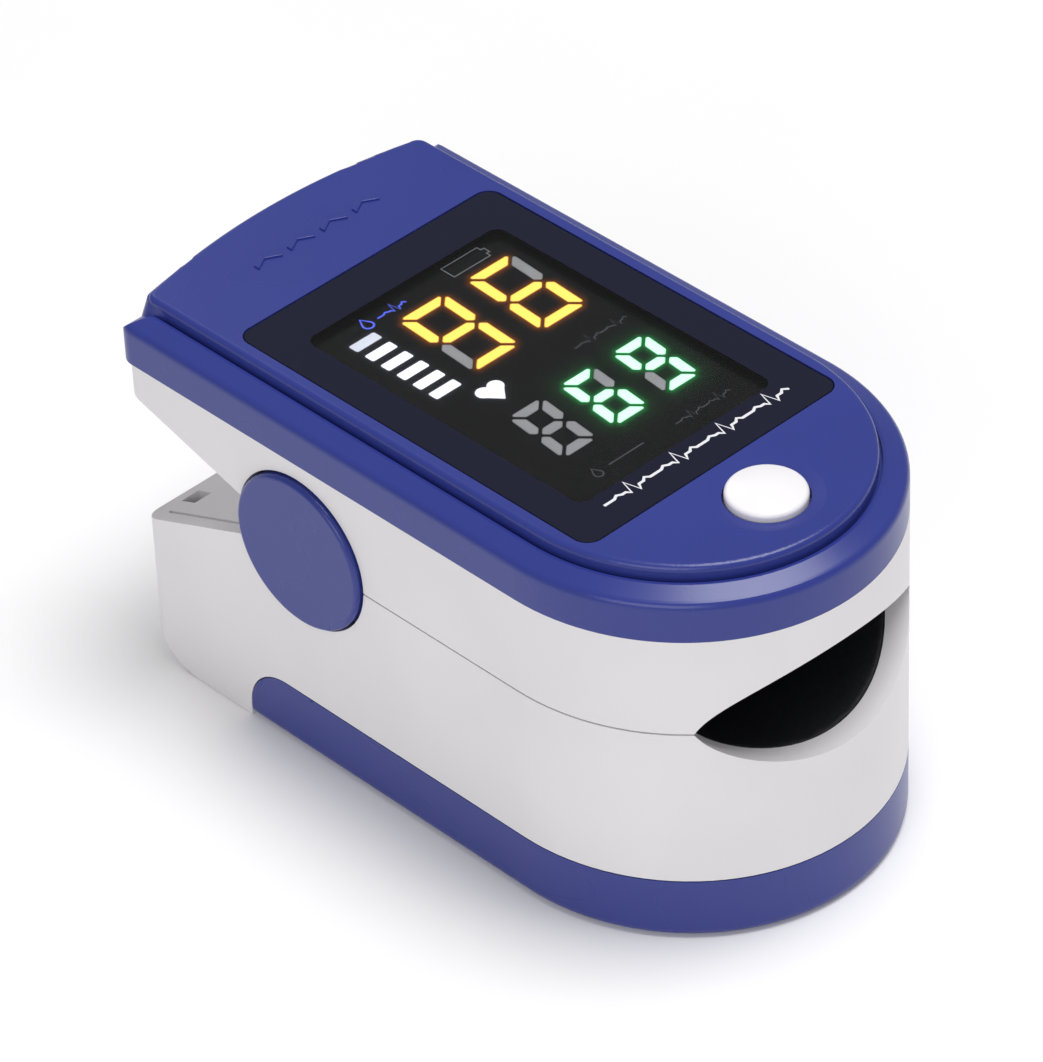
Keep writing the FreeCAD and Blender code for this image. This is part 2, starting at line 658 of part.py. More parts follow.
def make_cells():
    """The left cell's positive end faces the tail, the right cell's the nose."""
    y0, y1 = bay_ends()
    for name, side in (("battery_cell_left", -1), ("battery_cell_right", 1)):
        x = side * CELL_X
        can = CELL_LENGTH - CELL_NUB
        if side < 0:
            start = y0 + CONTACT_T + SPRING_ROOM
            body = rod_y(CELL_R, start, start + can, x, CELL_Z)
            nub = rod_y(CELL_NUB_R, start + can, start + CELL_LENGTH, x, CELL_Z)
        else:
            start = y0 + CONTACT_T
            nub = rod_y(CELL_NUB_R, start, start + CELL_NUB, x, CELL_Z)
            body = rod_y(CELL_R, start + CELL_NUB, start + CELL_LENGTH, x, CELL_Z)
        ends = [e for e in body.Edges if e.Curve.TypeId == "Part::GeomCircle"]
        keep(name, join(body.makeFillet(0.5, ends), nub))


def coil_spring(x, y0, y1, z):
    """A short conical battery spring of three turns, wide end at y0."""
    turns = 3
    steps = 14 * turns
    points = []
    for i in range(steps + 1):
        t = i / steps
        r = BATTERY_SPRING_R + (BATTERY_SPRING_TIP_R - BATTERY_SPRING_R) * t
        angle = 2 * math.pi * turns * t
        points.append(V(x + r * math.cos(angle), y0 + (y1 - y0) * t, z + r * math.sin(angle)))
    curve = Part.BSplineCurve()
    curve.interpolate(points)
    ring = Part.Wire(Part.makeCircle(BATTERY_WIRE_R, points[0], curve.tangent(curve.FirstParameter)[0]))
    return Part.Wire(curve.toShape()).makePipeShell([ring], True, False)


def make_contacts():
    y0, y1 = bay_ends()
    wide = CELL_X + CONTACT_HALF
    keep("bridge_contact", box(-wide, wide, y0, y0 + CONTACT_T, CELL_Z - CONTACT_HALF, CELL_Z + CONTACT_HALF))
    for name, side in (("positive_contact", -1), ("negative_contact", 1)):
        x0, x1 = side * CELL_X - CONTACT_HALF, side * CELL_X + CONTACT_HALF
        keep(name, box(x0, x1, y1 - CONTACT_T, y1, CELL_Z - CONTACT_HALF, CELL_Z + CONTACT_HALF + 1.0))
    clear = BATTERY_WIRE_R + 0.02
    keep("bridge_spring", coil_spring(-CELL_X, y0 + CONTACT_T + clear, y0 + CONTACT_T + SPRING_ROOM - clear, CELL_Z))
    rear = y1 - CONTACT_T
    keep("negative_spring", coil_spring(CELL_X, rear - clear, rear - SPRING_ROOM + clear, CELL_Z))


def make_battery_cover():
    outer = plan_prism(0, TAIL, 0, COVER_Z)
    shape = outer.common(cover_space(0))
    rim = [e for e in edges_near(shape, 0) if e.BoundBox.YMin < COVER_REAR - 0.1]
    shape = shape.makeFillet(BOTTOM_ROUND, rim)
    shape = shape.cut(plan_prism(WALL, TAIL + 9, FLOOR, COVER_Z + 5))
    x = HALF - WALL
    rib = box(x - RIB, x + 0.1, NOSE_Y + 3, COVER_REAR - COVER_CORNER, rib_z() - RIB / 2, rib_z() + RIB / 2)
    grips = []
    for i in range(GRIP_COUNT):
        y = COVER_REAR - GRIP_FROM_REAR - GRIP_PITCH * i
        grips.append(box(-GRIP_HALF, GRIP_HALF, y, y + GRIP_WIDTH, -1, GRIP_DEPTH))
    keep("battery_cover", join(shape, *both_sides(rib)).cut(grips))


# ---- hinge ----
def make_hinge():
    keep("hinge_axle", rod_x(AXLE_R, -(CAP_X + AXLE_END), CAP_X + AXLE_END))
    for name, side in (("hinge_cap_left", -1), ("hinge_cap_right", 1)):
        disc = rod_x(CAP_R, CAP_X, HALF + CAP_PROUD)
        rim = [e for e in disc.Edges if e.BoundBox.XMin > HALF and e.BoundBox.XLength < 1e-3]
        disc = disc.makeFillet(CAP_EDGE, rim)
        pegs = [rod_x(PEG_R, LOWER_EAR_X + 0.2, CAP_X + 0.2, HINGE_Y, HINGE_Z + dz * PEG_OFFSET)
                for dz in (-1, 1)]
        cap = join(disc, *pegs).cut(rod_x(AXLE_R, 0, CAP_X + AXLE_END))
        keep(name, cap if side > 0 else cap.mirror(V(0, 0, 0), V(1, 0, 0)))
    inner, middle, outer = spring_x()
    for side_name, flip in (("right", False), ("left", True)):
        split = WIRE_R + SPRING_SPLIT
        halves = (("fixed", torsion_half(middle + split, outer, -1, LOWER_LEG_DEG)),
                  ("moving", torsion_half(middle - split, inner, 1, UPPER_LEG_DEG)))
        for part_name, shape in halves:
            if flip:
                shape = shape.mirror(V(0, 0, 0), V(1, 0, 0))
            keep("hinge_spring_%s_%s" % (side_name, part_name), shape)


def spring_x():
    """Inner end, middle and outer end of the right-hand torsion spring, along X."""
    outer = UPPER_EAR_X - WIRE_R - SPRING_SIDE_GAP
    span = 2 * COIL_TURNS * COIL_PITCH + 2 * WIRE_R
    return outer - span, outer - span / 2, outer


# ---- upper jaw ----
def upper_outline(wall, plate):
    """Side view of the upper housing, or of its hollow when walls are given."""
    tail = TAIL - HOUSING_SETBACK - wall
    low = UPPER_P + (FLOOR if wall else 0)
    slope = plate / math.cos(math.radians(UPPER_WEDGE_DEG))
    bend = HINGE_Y + (low - slope - HINGE_Z) / math.tan(math.radians(UPPER_WEDGE_DEG))
    top = HOUSING_Z + (1 if wall else 0)
    return [(AHEAD, low), (bend, low), (tail, upper_wedge_z(tail) + slope), (tail, top), (AHEAD, top)]


def cover_screw_places():
    return [(side * (HALF - COVER_SCREW_FROM_SIDE), TAIL - COVER_SCREW_FROM_TAIL) for side in (-1, 1)]


def upper_ears():
    """The upper jaw's hinge ears, hung from the roof of the spring well."""
    x = UPPER_EAR_X + EAR_T
    hanger = box(UPPER_EAR_X, x, HINGE_Y - UPPER_EAR_R, HINGE_Y + UPPER_EAR_R, HINGE_Z, HINGE_Z + WELL_R + 0.3)
    return both_sides(rod_x(UPPER_EAR_R, UPPER_EAR_X, x)) + both_sides(hanger)


def make_upper_housing():
    tail = TAIL - HOUSING_SETBACK
    body = plan_prism(0, tail, UPPER_P, HOUSING_Z).common(side_prism(upper_outline(0, 0)))
    inner = plan_prism(WALL, tail - WALL, UPPER_P, HOUSING_Z + 1, TAIL_CORNER - WALL)
    hollow = inner.common(side_prism(upper_outline(WALL, PLATE_T)))
    arch = channel_prism(AHEAD, CHANNEL_END + PAD_T + CARRIER_T, PAD_T + CARRIER_T, -CHANNEL_RISE)
    well = rod_x(WELL_R + WELL_WALL, -FAR, FAR)
    body = body.cut(hollow.cut([arch, well]))
    body = body.cut(channel_prism(AHEAD, CHANNEL_END, 0, -CHANNEL_RISE))
    seat = channel_prism(AHEAD, CHANNEL_END + PAD_T, PAD_T, -CHANNEL_RISE)
    body = body.cut(seat.common(plan_prism(PAD_SETBACK, TAIL, 0, FAR)))
    body = body.cut(mouth_flare(-MOUTH_RISE))
    ear_room = rod_x(LOWER_EAR_R + LOWER_EAR_ROOM, LOWER_EAR_X - EAR_GAP + 0.05, CAP_X + EDGE_GAP)
    body = body.cut([rod_x(WELL_R, -LOWER_EAR_X, LOWER_EAR_X)] + both_sides(ear_room) + both_sides(cap_pocket()))
    posts = [rod_z(COVER_POST_R, UPPER_P, BOARD_Z, x, y) for x, y in cover_screw_places()]
    posts = [p.common(side_prism(upper_outline(0, 0))) for p in posts]
    body = join(body, *upper_ears(), *posts)
    body = body.cut([rod_x(AXLE_R + RUN_GAP, -FAR, FAR), ribbon_slot_upper()])
    for x, y in cover_screw_places():
        shank_hole = rod_z(COVER_SCREW_R + 0.1, UPPER_P, FAR, x, y)
        head_hole = rod_z(COVER_SCREW_HEAD_R + 0.15, 0, screw_head_z(), x, y)
        body = body.cut([shank_hole, head_hole])
    body = body.cut(both_sides(leg_slot(1, UPPER_LEG_DEG, spring_x()[0])))
    body = body.cut(rod_z(SENSOR_HOLE_R, UPPER_P, BOARD_Z, 0, SENSOR_Y))
    keep("upper_housing", largest(body))


def screw_head_z():
    """Height of the cover screws' seats, above the sloping plate's underside."""
    return upper_wedge_z(TAIL - COVER_SCREW_FROM_TAIL) + COVER_SCREW_SEAT


def ribbon_slot_upper():
    y = ribbon_y()
    x = RIBBON_HALF + RIBBON_GAP
    return box(-x, x, y - RIBBON_GAP - RIBBON_T, y + RIBBON_GAP + RIBBON_T, HINGE_Z, HOUSING_Z)


def deck_prism(inset, z0, z1):
    return plan_prism(DECK_INSET + inset, TAIL - inset, z0, z1, DECK_CORNER - inset, DECK_BULGE)


def lip_wire(z, flare):
    """Outline of the deck's tail lip: two straight sides that may spread, and the bowed tail edge."""
    half = HALF - DECK_INSET - 0.02
    y0, y1 = TAIL - LIP_LENGTH, TAIL - DECK_BULGE
    corners = [V(-half, y0, z), V(-half - flare, y1, z), V(half + flare, y1, z), V(half, y0, z)]
    back = arc(corners[1], V(0, TAIL - 0.02, z), corners[2])
    return Part.Wire([line(*corners[:2]), back, line(*corners[2:]), line(corners[3], corners[0])])


def tail_lip():
    """The foot of the deck's tail: its sides flare out, over the rim's rounded end."""
    top, foot = DECK_Z - DECK_EDGE, DECK_Z - LIP_DEPTH
    lip = Part.makeLoft([lip_wire(top, 0.0), lip_wire(foot, LIP_FLARE)], True, True)
    uprights = [e for e in lip.Edges if e.BoundBox.ZLength > (top - foot) / 2]
    corners = [e for e in uprights if e.BoundBox.YMin > TAIL - LIP_LENGTH / 2 - DECK_BULGE / 2]
    return lip.makeFillet(DECK_CORNER, corners)


def raised_deck():
    deck = deck_prism(0, RIM_Z - DECK_GROOVE_DEPTH, DECK_Z)
    return join(deck.makeFillet(DECK_EDGE, edges_near(deck, DECK_Z)), tail_lip())


def lip_limit():
    """Everything ahead of the middle of the lip."""
    return box(-FAR, FAR, AHEAD, TAIL - LIP_LENGTH + 1.0, 0, FAR)


def rim_band(rim_tail):
    """The rim: an upright side, a rounded edge and a band that slopes in to the deck."""
    band = DECK_INSET - 0.5
    turn = math.pi / 2 - math.atan2(RIM_TOP_Z - RIM_Z, band)
    foot = RIM_Z - RIM_EDGE * math.tan(turn / 2)
    wires = []
    for step in range(RIM_EDGE_STEPS + 1):
        a = turn * step / RIM_EDGE_STEPS
        wires.append(plan_wire(RIM_EDGE * (1 - math.cos(a)), rim_tail, foot + RIM_EDGE * math.sin(a)))
    wires.append(plan_wire(band, rim_tail, RIM_TOP_Z))
    return join(plan_prism(0, rim_tail, HOUSING_Z, foot), Part.makeLoft(wires, True, True))


def make_top_cover():
    rim_tail = TAIL - RIM_SETBACK
    rim = rim_band(rim_tail).common(rounded_end(rim_tail, RIM_TOP_Z, RIM_ROUND))
    body = rim.cut(deck_prism(-DECK_GROOVE, RIM_TOP_Z - DECK_GROOVE_DEPTH, FAR))
    body = join(body, raised_deck())
    under = deck_prism(WALL, RIM_Z - 2, DECK_Z - COVER_TOP_T).common(lip_limit())
    hollow = plan_prism(WALL, rim_tail - WALL, HOUSING_Z - 1, RIM_Z - RIM_TOP_T, TAIL_CORNER - WALL)
    body = body.cut([hollow, under])
    body = join(body, *[cover_post(x, y) for x, y in cover_screw_places()])
    thread_top = DECK_Z - COVER_TOP_T - COVER_SCREW_R
    body = body.cut([rod_z(COVER_SCREW_R, BOARD_TOP - 1, thread_top, x, y) for x, y in cover_screw_places()])
    body = body.cut(window_opening())
    hole = rod_z(BUTTON_R + BUTTON_GAP, HOUSING_Z, FAR, 0, BUTTON_Y)
    body = body.cut([hole, button_dish()])
    keep("top_cover", largest(join(body, *squeeze_marks())))


def window_opening():
    """The window's seat, and the opening that the display module stands up into."""
    y0, y1 = WINDOW_Y0 - EDGE_GAP, WINDOW_Y1 + EDGE_GAP
    seat = rounded_plate(WINDOW_HALF + EDGE_GAP, y0, y1, WINDOW_SEAT, FAR, WINDOW_CORNER)
    x = MODULE_HALF + EDGE_GAP
    through = box(-x, x, MODULE_Y0 - EDGE_GAP, MODULE_Y0 + MODULE_LENGTH + EDGE_GAP, 0, FAR)
    return [seat, through]


def cover_post(x, y):
    return rod_z(COVER_POST_R, BOARD_TOP, DECK_Z - COVER_TOP_T + 0.1, x, y)


def button_dish():
    """A shallow bowl round the button."""
    depth = DISH_DEPTH
    r = (DISH_R ** 2 + depth ** 2) / (2 * depth)
    return Part.makeSphere(r, V(0, BUTTON_Y, DECK_Z - depth + r))


def squeeze_marks():
    """A row of raised arrowheads on the tail of the deck, which show where to squeeze."""
    marks = []
    y = TAIL - MARK_FROM_TAIL
    near, far = y - MARK_LENGTH, y - MARK_LENGTH + MARK_STROKE
    for i in range(MARK_COUNT):
        x = MARK_PITCH * (i - (MARK_COUNT - 1) / 2)
        x0, x1 = x - MARK_WIDE / 2, x + MARK_WIDE / 2
        points = [(x0, near), (x, y - MARK_STROKE), (x1, near), (x1, far), (x, y), (x0, far)]
        mark = outline_prism(points, DECK_Z - MARK_RAISE, 2 * MARK_RAISE)
        marks.append(mark.makeFillet(0.5 * MARK_RAISE, edges_near(mark, DECK_Z + MARK_RAISE)))
    return marks


def make_window():
    keep("display_window", rounded_plate(WINDOW_HALF, WINDOW_Y0, WINDOW_Y1, WINDOW_SEAT, WINDOW_TOP, WINDOW_CORNER))


# ---- display ----
def seven_bars(w, h, t):
    """Outlines of a seven-segment digit's bars, named a to g: mitred outside, pointed at the middle."""
    top = [(-w, h), (w, h), (w - t, h - t), (t - w, h - t)]
    side = [(w, h), (w - t, h - t), (w - t, t / 2), (w - t / 2, 0), (w, t / 2)]
    middle = [(w - t / 2, 0), (w - t, t / 2), (t - w, t / 2), (t / 2 - w, 0), (t - w, -t / 2), (w - t, -t / 2)]
    turn = {"a": (top, 1, 1), "b": (side, 1, 1), "c": (side, 1, -1), "d": (top, 1, -1),
            "e": (side, -1, -1), "f": (side, -1, 1), "g": (middle, 1, 1)}
    return {name: [(sx * x, sy * y) for x, y in bar] for name, (bar, sx, sy) in turn.items()}


def digit(cx, cy, wide, tall, lean, thick):
    """One digit's bars, as prisms; the top of the digit faces +Y."""
    low = MODULE_TOP - SEGMENT_T
    bars = seven_bars((wide + SEGMENT_GAP) / 2, (tall + SEGMENT_GAP) / 2, thick + SEGMENT_GAP)
    prisms = {}
    for name, bar in bars.items():
        corners = [V(cx + x + lean * y, cy + y, low) for x, y in bar]
        face = Part.Face(Part.makePolygon(corners + corners[:1]))
        face = face.makeOffset2D(-SEGMENT_GAP / 2 - SEGMENT_ROUND).makeOffset2D(SEGMENT_ROUND)
        prisms[name] = face.extrude(V(0, 0, SEGMENT_T))
    return prisms


def place(dy):
    """A height on the display, measured from the window's middle."""
    return (WINDOW_Y0 + WINDOW_Y1) / 2 + dy


def display_pieces():
    """The display's light windows, by finish."""
    yellow, green, grey = [], [], []
    big = dict(wide=4.42, tall=8.25, lean=0.065, thick=0.82)
    small = dict(wide=3.22, tall=6.05, lean=0.1, thick=0.8)
    big_y, small_y = place(7.0), place(-5.75)
    digits = [(-0.85, big_y, big, "abcdfg", yellow), (5.85, big_y, big, "acdefg", yellow),
              (-4.13, small_y, small, "", green), (0.9, small_y, small, "acdefg", green),
              (6.03, small_y, small, "abcdfg", green)]
    for cx, cy, size, lit, group in digits:
        for name, bar in digit(cx, cy, **size).items():
            (group if name in lit else grey).append(bar)
    low = MODULE_TOP - SEGMENT_T
    rows = [place(11.0 - BAR_PITCH * i) for i in range(BAR_COUNT)]
    bars = [rounded_bar(-7.3, -4.96, y - BAR_HALF, y + BAR_HALF, low) for y in rows]
    return {"segments_yellow": yellow, "segments_green": green, "segments_unlit": grey, "pulse_bars": bars,
            "heart_icon": [heart(-4.0, place(0.25), 2.2, low)]}


def rounded_bar(x0, x1, y0, y1, z):
    bar = box(x0, x1, y0, y1, z, z + SEGMENT_T)
    return bar.makeFillet(SEGMENT_ROUND, [e for e in bar.Edges if e.BoundBox.ZLength > SEGMENT_T / 2])


def heart(cx, cy, size, z):
    """Two round lobes on a pointed wedge; the point faces -Y."""
    r = size * 0.27
    lobes = [rod_z(r, z, z + SEGMENT_T, cx + side * r * 0.95, cy + r * 0.6) for side in (-1, 1)]
    tip = [(cx - r * 1.85, cy + r * 0.25), (cx, cy - r * 2.0), (cx + r * 1.85, cy + r * 0.25), (cx, cy + r * 0.8)]
    return join(outline_prism(tip, z, SEGMENT_T), *lobes)


def make_display():
    pieces = display_pieces()
    y0, y1 = MODULE_Y0, MODULE_Y0 + MODULE_LENGTH
    block = box(-MODULE_HALF, MODULE_HALF, y0, y1, MODULE_TOP - MODULE_T, MODULE_TOP)
    keep("display_module", block.cut([shape for group in pieces.values() for shape in group]))
    for name, group in pieces.items():
        keep(name, *group)
    columns = [PIN_PITCH * (i - (PIN_COUNT - 1) / 2) for i in range(PIN_COUNT)]
    keep("display_pins", *[rod_z(PIN_R, BOARD_TOP, MODULE_TOP - MODULE_T, x, y)
                           for y in (y0 + PIN_MARGIN, y1 - PIN_MARGIN) for x in columns])


# ---- electronics and button ----
def under_board(x, y, length_x, length_y, height):
    """A component soldered to the main board's underside, centred on x, y."""
    return box(x - length_x / 2, x + length_x / 2, y - length_y / 2, y + length_y / 2, BOARD_Z - height, BOARD_Z)


def make_boards():
    rear = TAIL - HOUSING_SETBACK - WALL - 0.6
    board = plan_prism(BOARD_INSET, rear, BOARD_Z, BOARD_TOP, 1.0)
    places = cover_screw_places()
    keep("main_board", board.cut([rod_z(COVER_SCREW_R + 0.1, 0, FAR, x, y) for x, y in places]))
    tip = DECK_Z - COVER_TOP_T - COVER_SCREW_R - 0.2
    keep("cover_screws", *[down_screw(x, y, screw_head_z(), COVER_SCREW_HEAD_R, COVER_SCREW_HEAD_T,
                                      COVER_SCREW_R, tip) for x, y in places])
    keep("microcontroller", under_board(0, HINGE_Y + 9.3, 7.0, 7.0, 1.0))
    keep("led_driver_chip", under_board(-7.9, HINGE_Y + 2.5, 3.0, 4.0, 0.9))
    resistors = []
    for i in range(5):
        resistors.append(under_board(5.9, HINGE_Y + 4.3 + 1.3 * i, 1.0, 0.6, 0.45))
        resistors.append(under_board(-5.9, HINGE_Y + 6.8 + 1.3 * i, 1.0, 0.6, 0.45))
    keep("chip_resistors", *resistors)


def make_emitter():
    led_t = 1.4
    keep("emitter_led", under_board(0, SENSOR_Y, 3.0, 2.2, led_t))
    window_z = PARTING_Z + CHANNEL_RISE + 0.05
    keep("emitter_window", rod_z(SENSOR_WINDOW_R, window_z, BOARD_Z - led_t - 0.05, 0, SENSOR_Y))


def make_ribbon():
    """The flat cable from the main board down past the axle to the detector, parted beside the axle."""
    y0, y1 = ribbon_y() - RIBBON_T / 2, ribbon_y() + RIBBON_T / 2
    part = 0.15
    keep("ribbon_upper", box(-RIBBON_HALF, RIBBON_HALF, y0, y1, HINGE_Z + part, BOARD_Z))
    low = TRAY_Z + TRAY_T
    drop = box(-RIBBON_HALF, RIBBON_HALF, y0, y1, low, HINGE_Z - part)
    run = box(-RIBBON_HALF, RIBBON_HALF, SENSOR_Y + DETECTOR_LENGTH / 2, y1, low, low + RIBBON_T)
    keep("ribbon_lower", join(drop, run))


def make_button():
    """Cap with a domed top; a flange below the deck stops it from coming out."""
    under = DECK_Z - COVER_TOP_T
    edge = DECK_Z + BUTTON_PROUD
    body = rod_z(BUTTON_R, under - 0.2, edge, 0, BUTTON_Y)
    r = (BUTTON_R ** 2 + BUTTON_DOME ** 2) / (2 * BUTTON_DOME)
    ball = Part.makeSphere(r, V(0, BUTTON_Y, edge + BUTTON_DOME - r))
    crown = rod_z(BUTTON_R, DECK_Z, edge + BUTTON_DOME, 0, BUTTON_Y).common(ball)
    flange = rod_z(FLANGE_R, under - 0.1 - FLANGE_T, under - 0.1, 0, BUTTON_Y)
    stem_low = BOARD_TOP + PLUNGER_TOP
    cap = join(body, crown, flange, rod_z(STEM_R, stem_low, under, 0, BUTTON_Y))
    keep("power_button", cap.makeFillet(0.35, edges_near(cap, edge)))
    half = SWITCH_HALF
    case = box(-half, half, BUTTON_Y - half, BUTTON_Y + half, BOARD_TOP, BOARD_TOP + SWITCH_T)
    well_z = BOARD_TOP + SWITCH_T - SWITCH_WELL
    keep("tact_switch", case.cut(rod_z(PLUNGER_R + 0.1, well_z, FAR, 0, BUTTON_Y)))
    keep("switch_plunger", rod_z(PLUNGER_R, well_z + BUTTON_TRAVEL + 0.1, stem_low, 0, BUTTON_Y))


def build():
    os.makedirs("parts", exist_ok=True)
    make_lower_housing()
    make_pads()
    make_detector()
    make_tray()
    make_cells()
    make_contacts()
    make_battery_cover()
    make_hinge()
    make_upper_housing()
    make_top_cover()
    make_window()
    make_display()
    make_boards()
    make_emitter()
    make_ribbon()
    make_button()
    for name, shape in NODES.items():
        if not shape.isValid():
            print("not valid:", name)
        shape.exportStep("parts/%s.step" % name)
        b = shape.BoundBox
        print("%-28s %2d  x %.2f %.2f  y %.2f %.2f  z %.2f %.2f" % (
            name, len(shape.Solids), b.XMin, b.XMax, b.YMin, b.YMax, b.ZMin, b.ZMax))


build()
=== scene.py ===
import math

import bmesh
import bpy
from mathutils import Matrix, Vector
from mathutils.bvhtree import BVHTree


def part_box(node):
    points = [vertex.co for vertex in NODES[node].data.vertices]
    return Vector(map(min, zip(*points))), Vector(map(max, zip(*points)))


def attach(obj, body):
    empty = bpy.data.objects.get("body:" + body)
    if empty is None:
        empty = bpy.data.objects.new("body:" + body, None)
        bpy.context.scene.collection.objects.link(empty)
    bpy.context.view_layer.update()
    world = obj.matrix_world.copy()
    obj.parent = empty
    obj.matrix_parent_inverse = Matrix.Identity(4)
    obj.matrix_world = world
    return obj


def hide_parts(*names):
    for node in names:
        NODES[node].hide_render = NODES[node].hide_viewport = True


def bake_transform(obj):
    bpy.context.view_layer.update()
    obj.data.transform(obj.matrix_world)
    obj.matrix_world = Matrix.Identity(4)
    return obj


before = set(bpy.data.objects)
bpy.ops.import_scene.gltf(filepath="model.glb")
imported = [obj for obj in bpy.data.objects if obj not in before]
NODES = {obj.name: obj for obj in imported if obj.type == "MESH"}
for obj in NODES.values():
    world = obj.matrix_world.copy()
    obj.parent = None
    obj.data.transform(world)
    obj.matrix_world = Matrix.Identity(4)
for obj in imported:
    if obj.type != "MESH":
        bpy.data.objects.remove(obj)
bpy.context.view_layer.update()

MM = 0.001


# ---------------------------------------------------------------- small helpers
def linear(hex_colour):
    """An sRGB hex colour as Blender's linear RGBA."""
    out = []
    for i in (1, 3, 5):
        c = int(hex_colour[i:i + 2], 16) / 255
        out.append(c / 12.92 if c <= 0.04045 else ((c + 0.055) / 1.055) ** 2.4)
    return (*out, 1.0)


def add(tree, kind, links=None, **settings):
    """Adds a shader node, sets its properties or input values, and links its inputs."""
    node = tree.nodes.new(kind)
    for key, value in settings.items():
        if hasattr(node, key):
            setattr(node, key, value)
        else:
            node.inputs[key.replace("_", " ")].default_value = value
    for name, source in (links or {}).items():
        tree.links.new(source, node.inputs[name])
    return node


def material(name, sockets):
    """An empty node material with its surface shader; sockets set the shader's constants."""
    made = bpy.data.materials.new(name)
    made.use_nodes = True
    tree = made.node_tree
    tree.nodes.clear()
    shader = tree.nodes.new("ShaderNodeBsdfPrincipled")
    for key, value in sockets.items():
        shader.inputs[key].default_value = value
    add(tree, "ShaderNodeOutputMaterial", {"Surface": shader.outputs["BSDF"]})
    return made, tree, shader


def ramp(tree, source, stops):
    """A colour ramp on a 0 to 1 value; stops are (position, colour)."""
    node = add(tree, "ShaderNodeValToRGB", {"Fac": source})
    elements = node.color_ramp.elements
    while len(elements) < len(stops):
        elements.new(0.5)
    for element, (place, colour) in zip(elements, stops):
        element.position = place
        element.color = colour
    return node


def grain(tree, shader, size_mm, height_mm, strength):
    """Fine surface texture whose grains are size_mm across. Returns its coordinates and its noise node."""
    place = add(tree, "ShaderNodeTexCoord").outputs["Object"]
    noise = add(tree, "ShaderNodeTexNoise", {"Vector": place},
                Scale=1 / (size_mm * MM), Detail=3.0, Roughness=0.6)
    bump = add(tree, "ShaderNodeBump", {"Height": noise.outputs["Fac"]},
               Strength=strength, Distance=height_mm * MM)
    tree.links.new(bump.outputs["Normal"], shader.inputs["Normal"])
    return place, noise


# ---------------------------------------------------------------- materials
CLOUD_MM = 14               # how far apart a plastic's faint changes of colour and gloss lie
CLOUD_LOW, CLOUD_HIGH = 0.3, 0.7
COLOUR_DRIFT = 0.03
GLOSSIER, DULLER = 0.03, 0.04


def moulded_plastic(name, hex_colour, rough, grit_mm, grit_height_mm, shine=0.5):
    """Plastic, resin or ceramic with an even skin: fine grit, and colour and gloss that drift a little."""
    made, tree, shader = material(name, {"IOR": 1.53, "Roughness": rough, "Specular IOR Level": shine})
    place, _ = grain(tree, shader, grit_mm, grit_height_mm, 0.5)
    cloud = add(tree, "ShaderNodeTexNoise", {"Vector": place}, Scale=1 / (CLOUD_MM * MM), Detail=2.0)
    base = linear(hex_colour)
    low = tuple(c * (1 - COLOUR_DRIFT) for c in base[:3]) + (1,)
    high = tuple(min(1, c * (1 + COLOUR_DRIFT)) for c in base[:3]) + (1,)
    tint = ramp(tree, cloud.outputs["Fac"], [(CLOUD_LOW, low), (CLOUD_HIGH, high)])
    tree.links.new(tint.outputs["Color"], shader.inputs["Base Color"])
    wear = add(tree, "ShaderNodeMapRange", {"Value": cloud.outputs["Fac"]})
    for key, value in (("From Min", CLOUD_LOW), ("From Max", CLOUD_HIGH),
                       ("To Min", rough - GLOSSIER), ("To Max", rough + DULLER)):
        wear.inputs[key].default_value = value
    tree.links.new(wear.outputs["Result"], shader.inputs["Roughness"])
    return made


white_abs = moulded_plastic("white_abs_moulded", "#E2E0E2", 0.36, 0.22, 0.004)
blue_abs = moulded_plastic("blue_abs_moulded", "#2D3887", 0.28, 0.20, 0.003, shine=0.4)
button_abs = moulded_plastic("button_abs_polished", "#F3F0F4", 0.20, 0.4, 0.001)
display_black = moulded_plastic("display_housing_black", "#0B0C0D", 0.5, 0.15, 0.002)
chip_epoxy = moulded_plastic("chip_epoxy_black", "#17181A", 0.55, 0.1, 0.004)
polyimide = moulded_plastic("polyimide_film", "#A5601C", 0.3, 0.6, 0.002)
chip_ceramic = moulded_plastic("ceramic_chip_body", "#2A2723", 0.45, 0.1, 0.002)


def silicone():
    """Silicone rubber: near black and matt, with the fine stipple of a blasted mould and dusty high spots."""
    made, tree, shader = material("black_silicone_matt", {
        "IOR": 1.43, "Roughness": 0.5, "Specular IOR Level": 0.4})
    _, noise = grain(tree, shader, 0.35, 0.02, 0.6)
    tint = ramp(tree, noise.outputs["Fac"], [(0.35, linear("#101116")), (0.75, linear("#1D1E24"))])
    tree.links.new(tint.outputs["Color"], shader.inputs["Base Color"])
    return made


def metal(name, hex_colour, rough):
    """Bare metal with a faint fine grain that breaks up its shine."""
    made, tree, shader = material(name, {
        "Metallic": 1.0, "Roughness": rough, "Base Color": linear(hex_colour)})
    grain(tree, shader, 0.15, 0.002, 0.4)
    return made


black_silicone = silicone()
steel = metal("zinc_plated_steel", "#B9BBBE", 0.28)
spring_wire = metal("drawn_spring_wire", "#9A9CA0", 0.25)
nickel = metal("nickel_plated_contact", "#C9C4B8", 0.2)


TRACK_PITCH_MM = 6


def circuit_board():
    """Green solder mask over copper tracks, which show as lighter lines."""
    made, tree, shader = material("circuit_board_mask", {"Roughness": 0.35, "IOR": 1.5})
    place, _ = grain(tree, shader, 0.5, 0.004, 0.3)
    tracks = add(tree, "ShaderNodeTexBrick", {"Vector": place}, Scale=1 / (TRACK_PITCH_MM * MM))
    tree.links.new(tracks.outputs["Color"], shader.inputs["Base Color"])
    for key, colour in (("Color1", "#0B4A24"), ("Color2", "#0D5529"), ("Mortar", "#15703A")):
        tracks.inputs[key].default_value = linear(colour)
    return made


